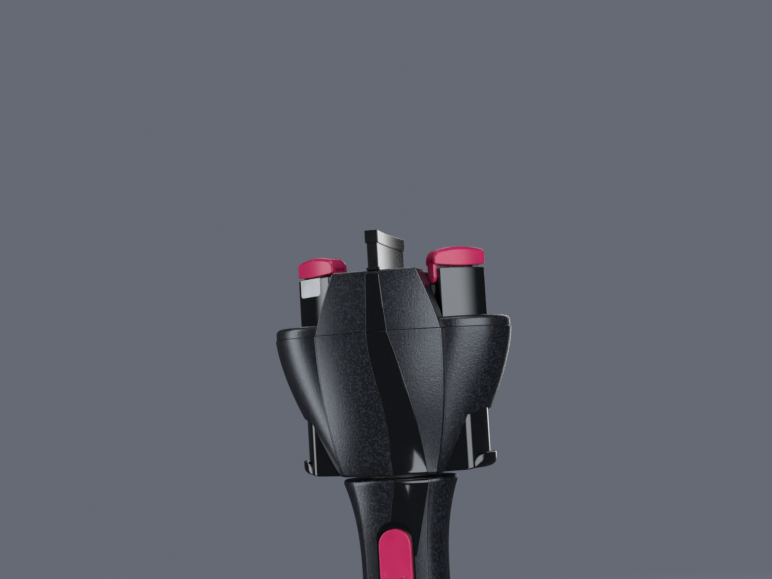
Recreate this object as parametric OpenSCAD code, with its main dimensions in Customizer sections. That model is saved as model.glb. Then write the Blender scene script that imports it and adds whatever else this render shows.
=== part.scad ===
// Automatic hair braider: a battery handle that carries a turning head with two clip rotors.
// X runs from left to right, the front faces -Y, Z runs up, and z = 0 is the handle's flat base.

/* [Handle] */
// Height of the handle from its base to the neck
handle_h = 149.6; // [142:0.1:160]
// Width of the straight grip
grip_w = 34.1; // [33.6:0.1:38]
// Depth of the straight grip
grip_d = 29; // [28.4:0.1:33]
// Height at which the grip starts to flare
flare_z = 109; // [100:0.5:114]
// Width of the flared top
handle_top_w = 47; // [44:0.5:52]
// Depth of the flared top
handle_top_d = 37; // [35:0.5:41]
// Width between the two crease lines of the grip's front and back panels
panel_w = 24.4; // [23.6:0.1:26]
// Width between the crease lines at the flared top
panel_top_w = 32; // [30:0.5:35]
// How far the panels stand proud of the sides
panel_step = 0.5; // [0.3:0.1:0.8]
// Wall of the handle
handle_wall = 2; // [1.8:0.1:2.4]

/* [Head] */
// Gap between the handle and the head
neck_gap = 1.2; // [1:0.1:3]
// Height of the lower shell, neck to seam
bowl_h = 55.4; // [54:0.1:62]
// Radius of each pod at the seam, seen from above
pod_r = 20.1; // [19:0.1:21]
// Width of the lower shell at the neck
neck_w = 47; // [44:0.2:49]
// Depth of the pods at the neck
neck_d = 35; // [33:0.2:36]
// Width of the raised centre lobe at the seam
lobe_w = 50.8; // [48:0.2:54]
// Width of the lobe at the neck
lobe_neck_w = 37.2; // [35:0.2:40]
// Depth of the head over its lobes at the seam
lobe_d = 54; // [50:0.5:58]
// Depth over the lobes at the neck
lobe_neck_d = 38; // [36:0.5:41]
// How far the lobe's edge stands proud of the pods at the seam
lobe_step = 3.4; // [2.6:0.1:3.8]
// How far it stands proud at the neck
neck_step = 0.8; // [0.5:0.1:1.2]
// Wall of the head's shells
head_wall = 2; // [1.8:0.1:2.4]
// Thickness of the floor at the neck
head_floor = 2.4; // [2:0.1:3]

/* [Cover] */
// Height of the rim above the seam
rim_h = 4.4; // [4:0.1:6]
// Rounding of the rim's upper edge
rim_r = 2; // [1:0.1:2.5]
// How far the cover is set in from the lower shell
seam_step = 0.4; // [0.2:0.1:0.8]
// Height of the tower above the rim
tower_h = 19.5; // [16:0.1:21]
// Width of the tower's top
tower_top_w = 33.6; // [32:0.2:38]
// Depth of the tower's top
tower_top_d = 49; // [46:0.5:52]
// Gap between a turning clip and the well round it
well_gap = 1.1; // [0.8:0.1:1.6]

/* [Fin] */
// Height of the fin above the tower
fin_h = 15.7; // [12:0.1:20]
// Thickness at the fin's ends
fin_t = 4.3; // [4:0.1:5.5]
// Thickness at the fin's waist
fin_waist = 2.6; // [2.2:0.1:3.6]
// Distance from the axis to the fin's front face
fin_front = 23.4; // [21:0.1:24.5]
// Distance from the axis to the fin's back end
fin_back = 18; // [14:0.5:22]
// Height of the fin's cap
fin_cap_h = 5; // [3:0.5:7]
// Overhang of the fin's cap
fin_cap_lip = 0.5; // [0.3:0.1:0.8]

/* [Gears] */
// Module of the head's gears
gear_module = 1; // [0.98:0.01:1.06]
// Teeth of the sun gear
sun_teeth = 32; // [31:1:33]
// Teeth of each rotor gear
rotor_teeth = 24; // [23:1:25]
// Face width of the gears
gear_t = 5; // [4:0.5:5.5]
// Play taken off each tooth
tooth_play = 0.12; // [0.08:0.01:0.2]

/* [Rotors] */
// Radius of the turning disc in the cover
disc_r = 12.9; // [12.5:0.1:13.2]
// Height of the post above the disc
post_h = 19.7; // [18:0.1:22]
// Length of the post's plan
post_l = 20.4; // [19.4:0.1:20.8]
// Depth of the post at its middle
post_d = 10.8; // [10:0.1:11.2]
// Depth of the post at its ends
post_end_d = 8.8; // [8:0.1:9.4]
// Turn of the left rotor at rest
left_turn = 145; // [0:1:360]
// Turn of the right rotor at rest
right_turn = 40; // [0:1:360]
// Height of the grip pad
pad_h = 7.1; // [6:0.1:8]
// Thickness of the grip pad
pad_t = 1.2; // [1:0.1:1.4]

/* [Clips] */
// Length of the clip's cap
clip_l = 22; // [21.6:0.1:22.4]
// Depth of the cap at its middle
clip_d = 10.4; // [9:0.1:10.8]
// Depth of the cap at its ends
clip_end_d = 7.6; // [6.6:0.1:8]
// Thickness of the cap at its middle
clip_t = 7.7; // [6.5:0.1:8.5]
// Rise of the cap's crown
clip_crown = 1.9; // [1.5:0.1:2.6]
// Chamfer along the cap's upper edges
clip_chamfer = 1.5; // [0.8:0.1:1.8]
// Drop of the cap's belly
clip_belly = 0.9; // [0.5:0.1:1.2]
// Gap between the closed cap and the post
clip_gap = 0.8; // [0.5:0.1:1.2]
// Length of the prong below the cap
prong_h = 6.5; // [5:0.1:7.5]
// Thickness of the prong
prong_t = 1.7; // [1.4:0.1:1.8]
// Width of the prong
prong_w = 4.2; // [3.4:0.1:4.6]
// Travel of a clip and its finger lever
clip_travel = 6; // [5:0.1:6.4]

/* [Levers] */
// Outer radius of a finger lever
lever_r = 9.2; // [8.6:0.1:9.6]
// Wall of a finger lever
lever_wall = 1.6; // [1.4:0.1:2]
// Gap between a lever and its channel
lever_gap = 0.4; // [0.3:0.1:0.6]
// Height of a lever
lever_h = 27.6; // [26:0.1:28]
// Reach of the curled lip beyond the lever
lip_reach = 3; // [2:0.1:3.4]
// Height of the curled lip
lip_h = 6.8; // [5:0.1:8]

/* [Switch] */
// Width of the slide button
button_w = 12.8; // [11:0.1:13.4]
// Length of the slide button
button_l = 30; // [26:0.5:31]
// Height of the button's middle
button_z = 115.2; // [112:0.1:116]
// Height of the button above its pan
button_t = 2.9; // [2.4:0.1:3.6]
// Travel of the button each way
button_travel = 2; // [1.6:0.1:2.4]
// Rim of the pan round the button
pan_rim = 0.7; // [0.6:0.1:1]

/* [Stripe] */
// Depth of the gloss inlay
stripe_t = 0.9; // [0.7:0.1:1.1]
// Gap round the gloss inlay
stripe_gap = 0.1; // [0.06:0.01:0.15]

/* [Power] */
// Radius of a cell
cell_r = 7; // [6.8:0.05:7.1]
// Length of a cell over its terminals
cell_l = 50.5; // [49:0.1:51]
// Radius of the motor
motor_r = 10; // [9:0.1:10.2]
// Length of the motor
motor_l = 26; // [24:0.5:27]
// Radius of the gearbox
gearbox_r = 8.6; // [8:0.1:8.8]
// Length of the gearbox
gearbox_l = 17; // [15:0.5:18]
// Radius of the drive shaft and the sun shaft
shaft_r = 2.5; // [2:0.1:3]
// Radius of the bush that the head turns on
bush_r = 9; // [8.5:0.1:9.5]

/* [Hidden] */

// Colours
black = [0.13, 0.13, 0.14];
gloss = [0.03, 0.03, 0.04];
pink = [0.75, 0.14, 0.34];
pale = [0.78, 0.78, 0.78];
steel = [0.66, 0.67, 0.7];
brass = [0.8, 0.66, 0.35];
nylon = [0.85, 0.84, 0.8];

// General fits
big = 400;
run_gap = 0.08;      // a shaft in its bearing
seat_gap = 0.05;     // a fixed piece in its seat
face_gap = 0.3;      // two faces that pass each other
loose_gap = 0.25;    // a sliding stem in its slot
fine = 48;

// Heights, from the base upward
head_z = handle_h + neck_gap;
seam_z = head_z + bowl_h;
disc_top = seam_z + rim_h - face_gap;
rim_top = seam_z + rim_h;
tower_top = rim_top + tower_h;
fin_top = tower_top + fin_h;
post_top = disc_top + post_h + 0.3;

// The rotor axes lie where the gears mesh
rotor_x = gear_module * (sun_teeth + rotor_teeth) / 2;
head_half = rotor_x + pod_r;
clip_swing = clip_l / 2 + 0.8;
well_r = max(disc_r, clip_swing) + well_gap;
bore_r = disc_r + run_gap;

// Gear stack, set down from the seam
gear_top = seam_z - 11;
gear_bottom = gear_top - gear_t;
deck_t = 2.2;
deck_top = gear_bottom - 0.8;
deck_bottom = deck_top - deck_t;
cup_r = 11.8;
cup_wall = 1.6;
cup_floor = 1.2;
cup_lift = 0.4;      // the cup's wall starts this far above the gears
cup_top = seam_z - 0.4;
flange_r = disc_r + 1.3;
flange_t = 1.8;
hub_r = 4;
rod_r = 2;

// Lever and channel
channel_r = lever_r + lever_gap;
channel_wall = 1.7;
lever_bottom = head_z + 0.3;
lever_top = lever_bottom + lever_h;
lever_floor = 1.8;
lip_half_angle = 62;
lip_t = 1.3;

// Carriage under each clip
carriage_t = 2;
carriage_z = gear_top + cup_floor + face_gap;
stem_x = 5.9;
stem_t = 2.8;
stem_w = 4.6;

// The clip's cap is longer towards the prong
clip_shift = -0.6;
clip_bottom = post_top + clip_gap;
clip_top = clip_bottom + clip_t;

// ---------- outline functions ----------

// Depth of the section's edge at x: flat over |x| < c, then a quarter ellipse that ends at x = a
function edge_y(x, a, b, c) = x <= c ? b : b * sqrt(max(0, 1 - pow((x - c) / (a - c), 2)));

lobe_n = 6;
corner_n = 5;

// Corner points from the lobe's edge round to the flank, in the quadrant that sx and sy pick
function corner(a, b, c, w, sx, sy) =
    let (start = w < c ? 90 : acos((w - c) / (a - c)))
    [for (i = [0:corner_n])
        let (t = start * (1 - i / corner_n))
        i == 0 ? [sx * w, sy * edge_y(w, a, b, c)]
            : [sx * (c + (a - c) * cos(t)), sy * b * sin(t)]];

function flip(list) = [for (i = [len(list) - 1:-1:0]) list[i]];

// A lobe's arc from -w to w: depth e at its edges and f at its middle
function lobe_arc(w, e, f, sy) =
    [for (i = [0:lobe_n])
        let (x = w * (2 * i / lobe_n - 1))
        [x, sy * (e + (f - e) * (1 - pow(x / w, 2)))]];

// One outline, counterclockwise from above: p holds a, b, c, w, lobe depth and step.
// The two points at x = +-a are written once each.
function outline(p) =
    let (a = p[0], b = p[1], c = p[2], w = p[3], f = p[4], e = edge_y(w, a, b, c) + p[5])
    concat(
        lobe_arc(w, e, f, -1),
        corner(a, b, c, w, 1, -1),
        flip(shorter(corner(a, b, c, w, 1, 1))),
        flip(lobe_arc(w, e, f, 1)),
        corner(a, b, c, w, -1, 1),
        flip(shorter(corner(a, b, c, w, -1, -1))));
function shorter(list) = [for (i = [0:len(list) - 2]) list[i]];

// The same outline moved in by t all round, its lobe's edges by the share k of t
function inset(p, t, k = 0.4) = [p[0] - t, p[1] - t, p[2], p[3] - t * k, p[4] - t, p[5]];

// Front depth of an outline's lobe at x
function front_at(p, x) =
    let (e = edge_y(p[3], p[0], p[1], p[2]) + p[5])
    e + (p[4] - e) * (1 - pow(x / p[3], 2));

// ---------- profiles along the height ----------

// Handle: straight grip, then a trumpet flare
flare_power = 2.6;
grip_flat = 8.2;
function flare(z) = pow(max(0, (z - flare_z) / (handle_h - flare_z)), flare_power);
function mix(a, b, t) = a + (b - a) * t;
function handle_p(z) =
    let (t = flare(z),
        a = mix(grip_w, handle_top_w, t) / 2,
        f = mix(grip_d, handle_top_d, t) / 2,
        b = f - 0.4 - 2 * t)
    [a, b, grip_flat, mix(panel_w, panel_top_w, t) / 2, f, panel_step];

// Lower shell: a bowl that opens quickly at the neck and stands nearly straight at the seam
swell = 0.55;
neck_flat = 14;
head_k = 0.8;
function bowl_t(z) = max(0, min(1, (z - head_z) / bowl_h));
function open_out(t) = pow(t, 0.76) + swell * t * t * (1 - t);
function bulge(t) = 1 - pow(1 - t, 2.2);
function bowl_p(z) =
    let (t = bowl_t(z))
    [mix(neck_w / 2, head_half, open_out(t)),
        mix(neck_d / 2, pod_r, t),
        mix(neck_flat, rotor_x, pow(t, 1.35)),
        mix(lobe_neck_w / 2, lobe_w / 2, bulge(t)),
        mix(lobe_neck_d / 2, lobe_d / 2, bulge(t)),
        mix(neck_step, lobe_step, t)];

// Tower: the lobes carried on above the seam, leaning in to a flat top
function tower_t(z) = max(0, (z - seam_z) / (tower_top - seam_z));
tower_round = 0.9;
function tower_half(z) = mix(lobe_w / 2 - seam_step, tower_top_w / 2, pow(tower_t(z), 1.2));
function tower_front(z) = mix(lobe_d / 2 - seam_step, tower_top_d / 2, pow(tower_t(z), 1.3));
function tower_edge(z) = mix(pod_r - seam_step + lobe_step, tower_top_d / 2 - 0.9, tower_t(z));
function tower_outline(z, t) =
    let (w = tower_half(z) - t, e = tower_edge(z) - t, f = tower_front(z) - t)
    concat(lobe_arc(w, e, f, -1), flip(lobe_arc(w, e, f, 1)));

// Left and right edge of the gloss stripe on the head, on the tower and on the handle
stripe_seam = [-3.6, 4.8];
stripe_neck = [2.2, 15.1];
stripe_top = [-3.1, 2.2];
stripe_low = [-4.6, 8];
function ease(t) = let (s = max(0, min(1, t))) s * s * (3 - 2 * s);
function bowl_stripe(z) =
    let (q = 1 - bowl_t(z))
    [mix(stripe_seam[0], stripe_neck[0], ease(q / 0.75)),
        mix(stripe_seam[1], stripe_neck[1], 1 - pow(1 - q, 1.75))];
function tower_stripe(z) =
    let (t = tower_t(z)) [mix(stripe_seam[0], stripe_top[0], t), mix(stripe_seam[1], stripe_top[1], t)];
stripe_foot = button_z + 4;
function handle_stripe_x(z) =
    let (q = (handle_h - z) / (handle_h - stripe_foot))
    [mix(stripe_neck[0], stripe_low[0], q), mix(stripe_neck[1], stripe_low[1], q)];

// ---------- solids from outlines ----------

// A closed loft through rings of equal length, capped from a middle point
module loft(rings, heights) {
    n = len(rings[0]);
    m = len(rings);
    points = concat(
        [for (k = [0:m - 1]) for (p = rings[k]) [p[0], p[1], heights[k]]],
        [[0, 0, heights[0]], [0, 0, heights[m - 1]]]);
    sides = [for (k = [0:m - 2]) for (i = [0:n - 1])
        let (j = (i + 1) % n)
        for (f = [[k * n + i, (k + 1) * n + i, (k + 1) * n + j], [k * n + i, (k + 1) * n + j, k * n + j]]) f];
    bottom = [for (i = [0:n - 1]) [m * n, i, (i + 1) % n]];
    top = [for (i = [0:n - 1]) [m * n + 1, (m - 1) * n + (i + 1) % n, (m - 1) * n + i]];
    polyhedron(points = points, faces = concat(sides, bottom, top));
}

// A thin slab between an outer and an inner grid: rows go up, columns go to +X
module slab(outer, inner) {
    m = len(outer);
    n = len(outer[0]);
    s = m * n;
    points = concat([for (r = outer) for (p = r) p], [for (r = inner) for (p = r) p]);
    skin = [for (k = [0:m - 2]) for (i = [0:n - 2])
        let (a = k * n + i, b = a + n)
        for (f = [[a, b, b + 1], [a, b + 1, a + 1], [s + a, s + a + 1, s + b + 1], [s + a, s + b + 1, s + b]]) f];
    flanks = [for (k = [0:m - 2])
        let (a = k * n, b = a + n, c = a + n - 1, d = b + n - 1)
        for (f = [[s + a, s + b, b], [s + a, b, a], [c, d, s + d], [c, s + d, s + c]]) f];
    top_row = (m - 1) * n;
    ends = [for (i = [0:n - 2])
        for (f = [[i, i + 1, s + i + 1], [i, s + i + 1, s + i],
            [top_row + i + 1, top_row + i, s + top_row + i],
            [top_row + i + 1, s + top_row + i, s + top_row + i + 1]]) f];
    polyhedron(points = points, faces = concat(skin, flanks, ends));
}

stripe_n = 3;
// Rows of a stripe at depth t below the surface, its edges moved out by g
function stripe_row(z, range, depths, g) =
    [for (i = [0:stripe_n])
        let (x = mix(range[0] - g, range[1] + g, i / stripe_n))
        [x, -depths[i], z]];
function depth_row(p, range, t, g) =
    [for (i = [0:stripe_n]) front_at(p, mix(range[0] - g, range[1] + g, i / stripe_n)) - t];
function tower_depths(z, t, g) =
    let (range = tower_stripe(z), w = tower_half(z), e = tower_edge(z), f = tower_front(z))
    [for (i = [0:stripe_n])
        e + (f - e) * (1 - pow(mix(range[0] - g, range[1] + g, i / stripe_n) / w, 2)) - t];

// An obround along Y: width w, length l, from y0 to y1, its middle at height z
module obround(w, l, y0, y1, z) {
    translate([0, y0, z]) rotate([-90, 0, 0]) linear_extrude(y1 - y0) {
        for (s = [-1, 1]) translate([0, s * (l - w) / 2]) circle(d = w, $fn = fine);
        square([w, l - w], center = true);
    }
}

module tube(r_out, r_in, z0, z1) {
    translate([0, 0, z0]) difference() {
        cylinder(r = r_out, h = z1 - z0, $fn = fine);
        translate([0, 0, -1]) cylinder(r = r_in, h = z1 - z0 + 2, $fn = fine);
    }
}

module rod(r, z0, z1) {
    translate([0, 0, z0]) cylinder(r = r, h = z1 - z0, $fn = fine);
}

// A spring of square wire wound about Z, one unbroken tube
coil_steps = 10;
module coil(r0, r1, wire, turns, z0, z1) {
    m = coil_steps * turns;
    function at(k, u, v) =
        let (t = k / m, r = mix(r0, r1, t) + u, a = 360 * turns * t)
        [r * cos(a), r * sin(a), mix(z0 + wire / 2, z1 - wire / 2, t) + v];
    h = wire / 2;
    points = [for (k = [0:m]) for (c = [[-h, -h], [h, -h], [h, h], [-h, h]]) at(k, c[0], c[1])];
    sides = [for (k = [0:m - 1]) for (i = [0:3])
        let (j = (i + 1) % 4)
        for (f = [[4 * k + i, 4 * k + 4 + i, 4 * k + 4 + j], [4 * k + i, 4 * k + 4 + j, 4 * k + j]]) f];
    caps = [[0, 1, 2], [0, 2, 3], [4 * m + 2, 4 * m + 1, 4 * m], [4 * m + 3, 4 * m + 2, 4 * m]];
    polyhedron(points = points, faces = concat(sides, caps));
}

module on_left() translate([-rotor_x, 0, 0]) children();
module on_right() translate([rotor_x, 0, 0]) children();

// ---------- handle shells ----------

module handle_outer() {
    rim = 2.2;
    levels = [[0, 1], [1, 0], [flare_z, 0], [mix(flare_z, handle_h, 0.28), 0],
        [mix(flare_z, handle_h, 0.5), 0], [mix(flare_z, handle_h, 0.68), 0],
        [mix(flare_z, handle_h, 0.83), 0], [handle_h - rim, 0], [handle_h - rim * 0.35, 0.5], [handle_h, 1.5]];
    loft([for (l = levels) outline(inset(handle_p(l[0]), l[1]))], [for (l = levels) l[0]]);
}

handle_floor = 2.2;
handle_lid = 2.4;
module handle_inner() {
    top = handle_h - handle_lid;
    levels = [handle_floor, flare_z, mix(flare_z, top, 0.35), mix(flare_z, top, 0.7), top];
    loft([for (z = levels) outline(inset(handle_p(z), handle_wall))], levels);
}

// Power train heights
gearbox_top = handle_h - 11.6;
motor_top = gearbox_top - gearbox_l - 0.2;
motor_bottom = motor_top - motor_l;
motor_flat = 7.6;
bush_flange_r = bush_r + 4;
bush_flange_t = 2;
bush_flange_top = handle_h - handle_lid - seat_gap;
rib_t = 1.6;
rib_levels = [motor_bottom + 3, motor_top - 5, gearbox_top - 3, bush_flange_top - bush_flange_t - rib_t - seat_gap];
rib_holes = [motor_r, motor_r, gearbox_r, bush_r];
board_w = 19;
board_front = -9;
board_t = 1;

// Ribs inside the handle that cradle the motor, the gearbox and the bush
module handle_ribs() {
    for (i = [0:3]) translate([0, 0, rib_levels[i]]) difference() {
        translate([-handle_top_w, -handle_top_d, 0]) cube([2 * handle_top_w, 2 * handle_top_d, rib_t]);
        translate([0, 0, -1]) cylinder(r = rib_holes[i] + face_gap, h = rib_t + 2, $fn = fine);
        if (i < 2) translate([-board_w / 2 - 0.3, -handle_top_d, -1])
            cube([board_w + 0.6, handle_top_d + board_front + board_t + 0.15, rib_t + 2]);
    }
}

bay_floor = 6;
screw_spots = [[9.5, bay_floor + cell_l + 23.5], [14.2, gearbox_top + 2.5]];
screw_seat = 9;
post_r = 2.8;
screw_r = 1.2;
screw_head_r = 2.3;

module along_y(x, z, y0, y1, r) {
    translate([x, y0, z]) rotate([-90, 0, 0]) cylinder(r = r, h = y1 - y0, $fn = fine);
}

module screw_posts() {
    for (s = screw_spots) for (d = [-1, 1]) along_y(d * s[0], s[1], -30, 30, post_r);
}

module handle_body() {
    difference() {
        handle_outer();
        difference() {
            handle_inner();
            handle_ribs();
            screw_posts();
        }
        rod(bush_r + seat_gap, handle_h - 10, handle_h + 10);
        for (s = screw_spots) for (d = [-1, 1]) {
            along_y(d * s[0], s[1], -8.4, screw_seat + 1, screw_r + seat_gap);
            along_y(d * s[0], s[1], screw_seat, 40, screw_head_r + 0.3);
        }
    }
}

split_gap = 0.1;
pan_w = button_w + 2 * (0.2 + pan_rim);
pan_l = button_l + 2 * (button_travel + 0.3 + pan_rim);

module stripe_rows_handle(t, g, z0, z1, over) {
    levels = [z0, mix(z0, z1, 0.25), mix(z0, z1, 0.5), mix(z0, z1, 0.75), z1 - 2.2, z1];
    outer = [for (z = levels)
        stripe_row(z, handle_stripe_x(z), depth_row(handle_p(z), handle_stripe_x(z), -over, g), g)];
    inner = [for (z = levels)
        stripe_row(z, handle_stripe_x(z), depth_row(handle_p(z), handle_stripe_x(z), t, g), g)];
    slab(outer, inner);
}

module handle_front() {
    color(black) difference() {
        handle_body();
        translate([-big / 2, -split_gap / 2, -1]) cube([big, big, big]);
        obround(pan_w + 0.2, pan_l + 0.2, -30, -5, button_z);
        stripe_rows_handle(stripe_t, stripe_gap, stripe_foot, handle_h + 0.5, 2);
    }
}

// Battery door: x half width, inner cut and height
door_half = 11.5;
door_gap = 0.1;
door_top = bay_floor + cell_l + 11;
door_cut_y = grip_d / 2 - 3.6;

module door_slice(t0, t1, half) {
    intersection() {
        difference() {
            polygon(outline(inset(handle_p(flare_z), t0)));
            polygon(outline(inset(handle_p(flare_z), t1)));
        }
        translate([-half, 2]) square([2 * half, 40]);
    }
}

module handle_rear() {
    color(black) difference() {
        handle_body();
        translate([-big / 2, split_gap / 2 - big, -1]) cube([big, big, big]);
        translate([-door_half, door_cut_y, -1]) cube([2 * door_half, 40, door_top + 1]);
        translate([0, 0, -1]) linear_extrude(door_top + 1) door_slice(0.5, 1.55, door_half + 1.4);
    }
}

module battery_door() {
    lift = 0.6;
    color(black) {
        translate([0, 0, lift]) linear_extrude(door_top - lift - 0.3)
            door_slice(0, 1.8, door_half - door_gap);
        translate([0, 0, lift]) linear_extrude(door_top - lift - 0.3)
            door_slice(0.65, 1.35, door_half + 1.15);
        // grip ridges for the thumb
        for (i = [0:4]) translate([-5, grip_d / 2 - 1, 14 + 2.6 * i]) cube([10, 1.5, 1.1]);
    }
}

module handle_stripe() {
    color(gloss) difference() {
        stripe_rows_handle(stripe_t - seat_gap, 0, stripe_foot + stripe_gap, handle_h - 0.9, 0);
        obround(pan_w + 0.3, pan_l + 0.3, -30, -5, button_z);
    }
}

// ---------- switch ----------

pan_face = grip_d / 2 - 0.6;
pan_floor_y = -(grip_d / 2 - 1.6);
pan_floor_t = 1.2;
pan_back = -(grip_d / 2 - 4);
stem_half_z = 3;

module switch_plate() {
    inner_w = pan_w - 2 * pan_rim;
    inner_l = pan_l - 2 * pan_rim;
    color(gloss) difference() {
        union() {
            obround(pan_w, pan_l, -pan_face, pan_back, button_z);
            obround(pan_w + 2.6, pan_l + 2.6, pan_back - 0.7, pan_back, button_z);
        }
        obround(inner_w, inner_l, -30, pan_floor_y, button_z);
        obround(inner_w, inner_l, pan_floor_y + pan_floor_t, 0, button_z);
        translate([-2.3, -20, button_z - stem_half_z - button_travel - 0.3])
            cube([4.6, 20, 2 * (stem_half_z + button_travel + 0.3)]);
    }
}

module switch_button() {
    y_base = pan_floor_y - 0.1;
    y_top = y_base - button_t;
    bevel = 0.7;
    color(pink) {
        obround(button_w, button_l, y_top + bevel, y_base, button_z);
        hull() {
            obround(button_w, button_l, y_top + bevel, y_top + bevel + 0.2, button_z);
            obround(button_w - 2 * bevel, button_l - 2 * bevel, y_top, y_top + 0.2, button_z);
        }
        // two thumb ridges across the lower half
        for (i = [0:3]) translate([-3.6, y_top - 0.4, button_z - 11 + 2.4 * i]) cube([7.2, 0.8, 1]);
        translate([-2, y_base - 0.5, button_z - stem_half_z]) cube([4, 2.3, 2 * stem_half_z]);
    }
}

slider_front = pan_floor_y - 0.1 + 1.8;
slider_back = board_front - 0.85;
module switch_slider() {
    color(brass) translate([-1.6, slider_front, button_z - 2.2]) cube([3.2, slider_back - slider_front, 4.4]);
}

module switch_body() {
    front = board_front - 1.9;
    color("dimgray") difference() {
        translate([-4.5, front, button_z - 9]) cube([9, board_front - front, 15.4]);
        translate([-1.85, front - 1, button_z - 2.2 - button_travel - 0.3])
            cube([3.7, slider_back - front + 1.15, 4.4 + 2 * (button_travel + 0.3)]);
    }
}

module circuit_board() {
    bottom = motor_bottom - 2;
    top = motor_top - 0.2;
    color("darkgreen") difference() {
        translate([-board_w / 2, board_front, bottom]) cube([board_w, board_t, top - bottom]);
        for (d = [-1, 1]) along_y(d * 7, bottom + 3, -20, 0, 1);
    }
    // chip and capacitor on the front face
    color("dimgray") translate([-3, board_front - 1.2, bottom + 4]) cube([6, 1.2, 4.5]);
}

// ---------- battery bay ----------

cell_x = cell_r + 0.2;
cell_y = grip_d / 2 - 11.3;
tray_back = cell_y - cell_r - 0.2;
tray_t = 1.3;
// inside half width of the grip at the depth of the tray's back
tray_depth = (tray_back - tray_t) / (handle_p(0)[1] - handle_wall);
tray_half = grip_flat + (grip_w / 2 - handle_wall - grip_flat) * sqrt(1 - tray_depth * tray_depth) - 0.3;
tray_wall = 1.4;
plate_t = 0.4;
spring_l = 5.2;
bay_in = bay_floor + tray_wall;
bay_top = bay_in + 2 * plate_t + spring_l + cell_l + 0.4;

module battery_tray() {
    end_half = tray_half - 0.8;
    color(black) {
        translate([-tray_half, tray_back - tray_t, bay_floor]) cube([2 * tray_half, tray_t, bay_top + tray_wall - bay_floor]);
        for (z = [bay_floor, bay_top]) translate([-end_half, tray_back - 0.1, z]) cube([2 * end_half, 10.5, tray_wall]);
        // low wall between the cells
        translate([-0.15, tray_back - 0.1, bay_in + 14]) cube([0.3, 3, 30]);
    }
}

// A cell that stands on z0; up is 1 with its button on top and -1 with it below
module cell(z0, up) {
    translate([0, 0, up > 0 ? z0 : z0 + cell_l]) scale_z(up) {
        cylinder(r = cell_r, h = cell_l - 1, $fn = fine);
        cylinder(r = 2.7, h = cell_l, $fn = fine);
    }
}
module scale_z(up) {
    if (up > 0) children();
    else mirror([0, 0, 1]) children();
}

module battery_cells() {
    color("dimgray") {
        translate([-cell_x, cell_y, 0]) cell(bay_in + plate_t + spring_l + 0.2, 1);
        translate([cell_x, cell_y, 0]) cell(bay_in + plate_t + 0.1, -1);
    }
}

module cell_springs() {
    color(steel) {
        translate([-cell_x, cell_y, 0]) coil(4.2, 2.6, 0.6, 4, bay_in + plate_t + 0.05, bay_in + plate_t + spring_l);
        translate([cell_x, cell_y, 0]) coil(2.6, 4.2, 0.6, 4, bay_top - plate_t - spring_l, bay_top - plate_t - 0.05);
    }
}

module bridge_contact() {
    color(steel) translate([-cell_x - 4.6, cell_y - 3.4, bay_in]) cube([2 * cell_x + 9.2, 6.8, plate_t]);
}

module terminal_contacts() {
    color(steel) for (d = [-1, 1])
        translate([d * cell_x - 4.6, cell_y - 3.4, bay_top - plate_t]) cube([9.2, 6.8, plate_t]);
}

// ---------- motor, gearbox and drive ----------

module motor() {
    color(steel) {
        intersection() {
            rod(motor_r, motor_bottom, motor_top);
            translate([-motor_r, -motor_flat, motor_bottom]) cube([2 * motor_r, 2 * motor_flat, motor_l]);
        }
        rod(3, motor_bottom - 1.6, motor_bottom);
    }
}

gear_socket = 5;
module gearbox() {
    color(nylon) difference() {
        union() {
            rod(gearbox_r, motor_top + 0.2, gearbox_top);
            rod(5, gearbox_top - 1, gearbox_top + 1.4);
        }
        rod(shaft_r + run_gap, gearbox_top + 1.4 - gear_socket, gearbox_top + 5);
    }
}

bush_top = head_z + 5;
clutch_r = 6.8;
clutch_t = 2;
drive_top = bush_top + face_gap + clutch_t;
module drive_shaft() {
    color(steel) {
        rod(shaft_r, gearbox_top + 1.4 - gear_socket + face_gap, bush_top + face_gap + 1);
        rod(clutch_r, bush_top + face_gap, drive_top);
    }
}

ring_z = head_z + head_floor + face_gap;
ring_t = 1.2;
module neck_bush() {
    color(nylon) difference() {
        union() {
            rod(bush_r, bush_flange_top - bush_flange_t - 3, bush_top);
            rod(bush_flange_r, bush_flange_top - bush_flange_t, bush_flange_top);
        }
        rod(shaft_r + run_gap, handle_h - 20, bush_top + 5);
        tube(bush_r + 2, bush_r - 0.8, ring_z - seat_gap, ring_z + ring_t + seat_gap);
    }
}

module retaining_ring() {
    color(steel) difference() {
        tube(bush_r + 2.6, bush_r - 0.75, ring_z, ring_z + ring_t);
        translate([-2, 0, ring_z - 1]) cube([4, 20, ring_t + 2]);
    }
}

module neck_washer() {
    color(gloss) tube(bush_r + 5, bush_r + 0.2, handle_h + 0.15, head_z - 0.15);
}

module handle_screws() {
    color(steel) for (s = screw_spots) for (d = [-1, 1]) difference() {
        union() {
            along_y(d * s[0], s[1], -8, screw_seat + 0.5, screw_r);
            along_y(d * s[0], s[1], screw_seat, screw_seat + 1.6, screw_head_r);
        }
        translate([d * s[0] - 1.5, screw_seat + 0.9, s[1] - 0.3]) cube([3, 2, 0.6]);
        translate([d * s[0] - 0.3, screw_seat + 0.9, s[1] - 1.5]) cube([0.6, 2, 3]);
    }
}

// ---------- head shells ----------

bowl_steps = [0, 0.035, 0.12, 0.22, 0.33, 0.44, 0.56, 0.69, 0.84, 1];
module bowl_outer() {
    levels = [for (s = bowl_steps) head_z + s * bowl_h];
    loft([for (z = levels) outline(inset(bowl_p(z), z == head_z ? 0.8 : 0, head_k))], levels);
}

module bowl_inner() {
    steps = [0, 0.12, 0.3, 0.5, 0.7, 0.85, 1];
    low = head_z + head_floor;
    levels = concat([for (s = steps) mix(low, seam_z, s)], [seam_z + 1]);
    loft([for (z = levels) outline(inset(bowl_p(z), head_wall, head_k))], levels);
}

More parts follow.
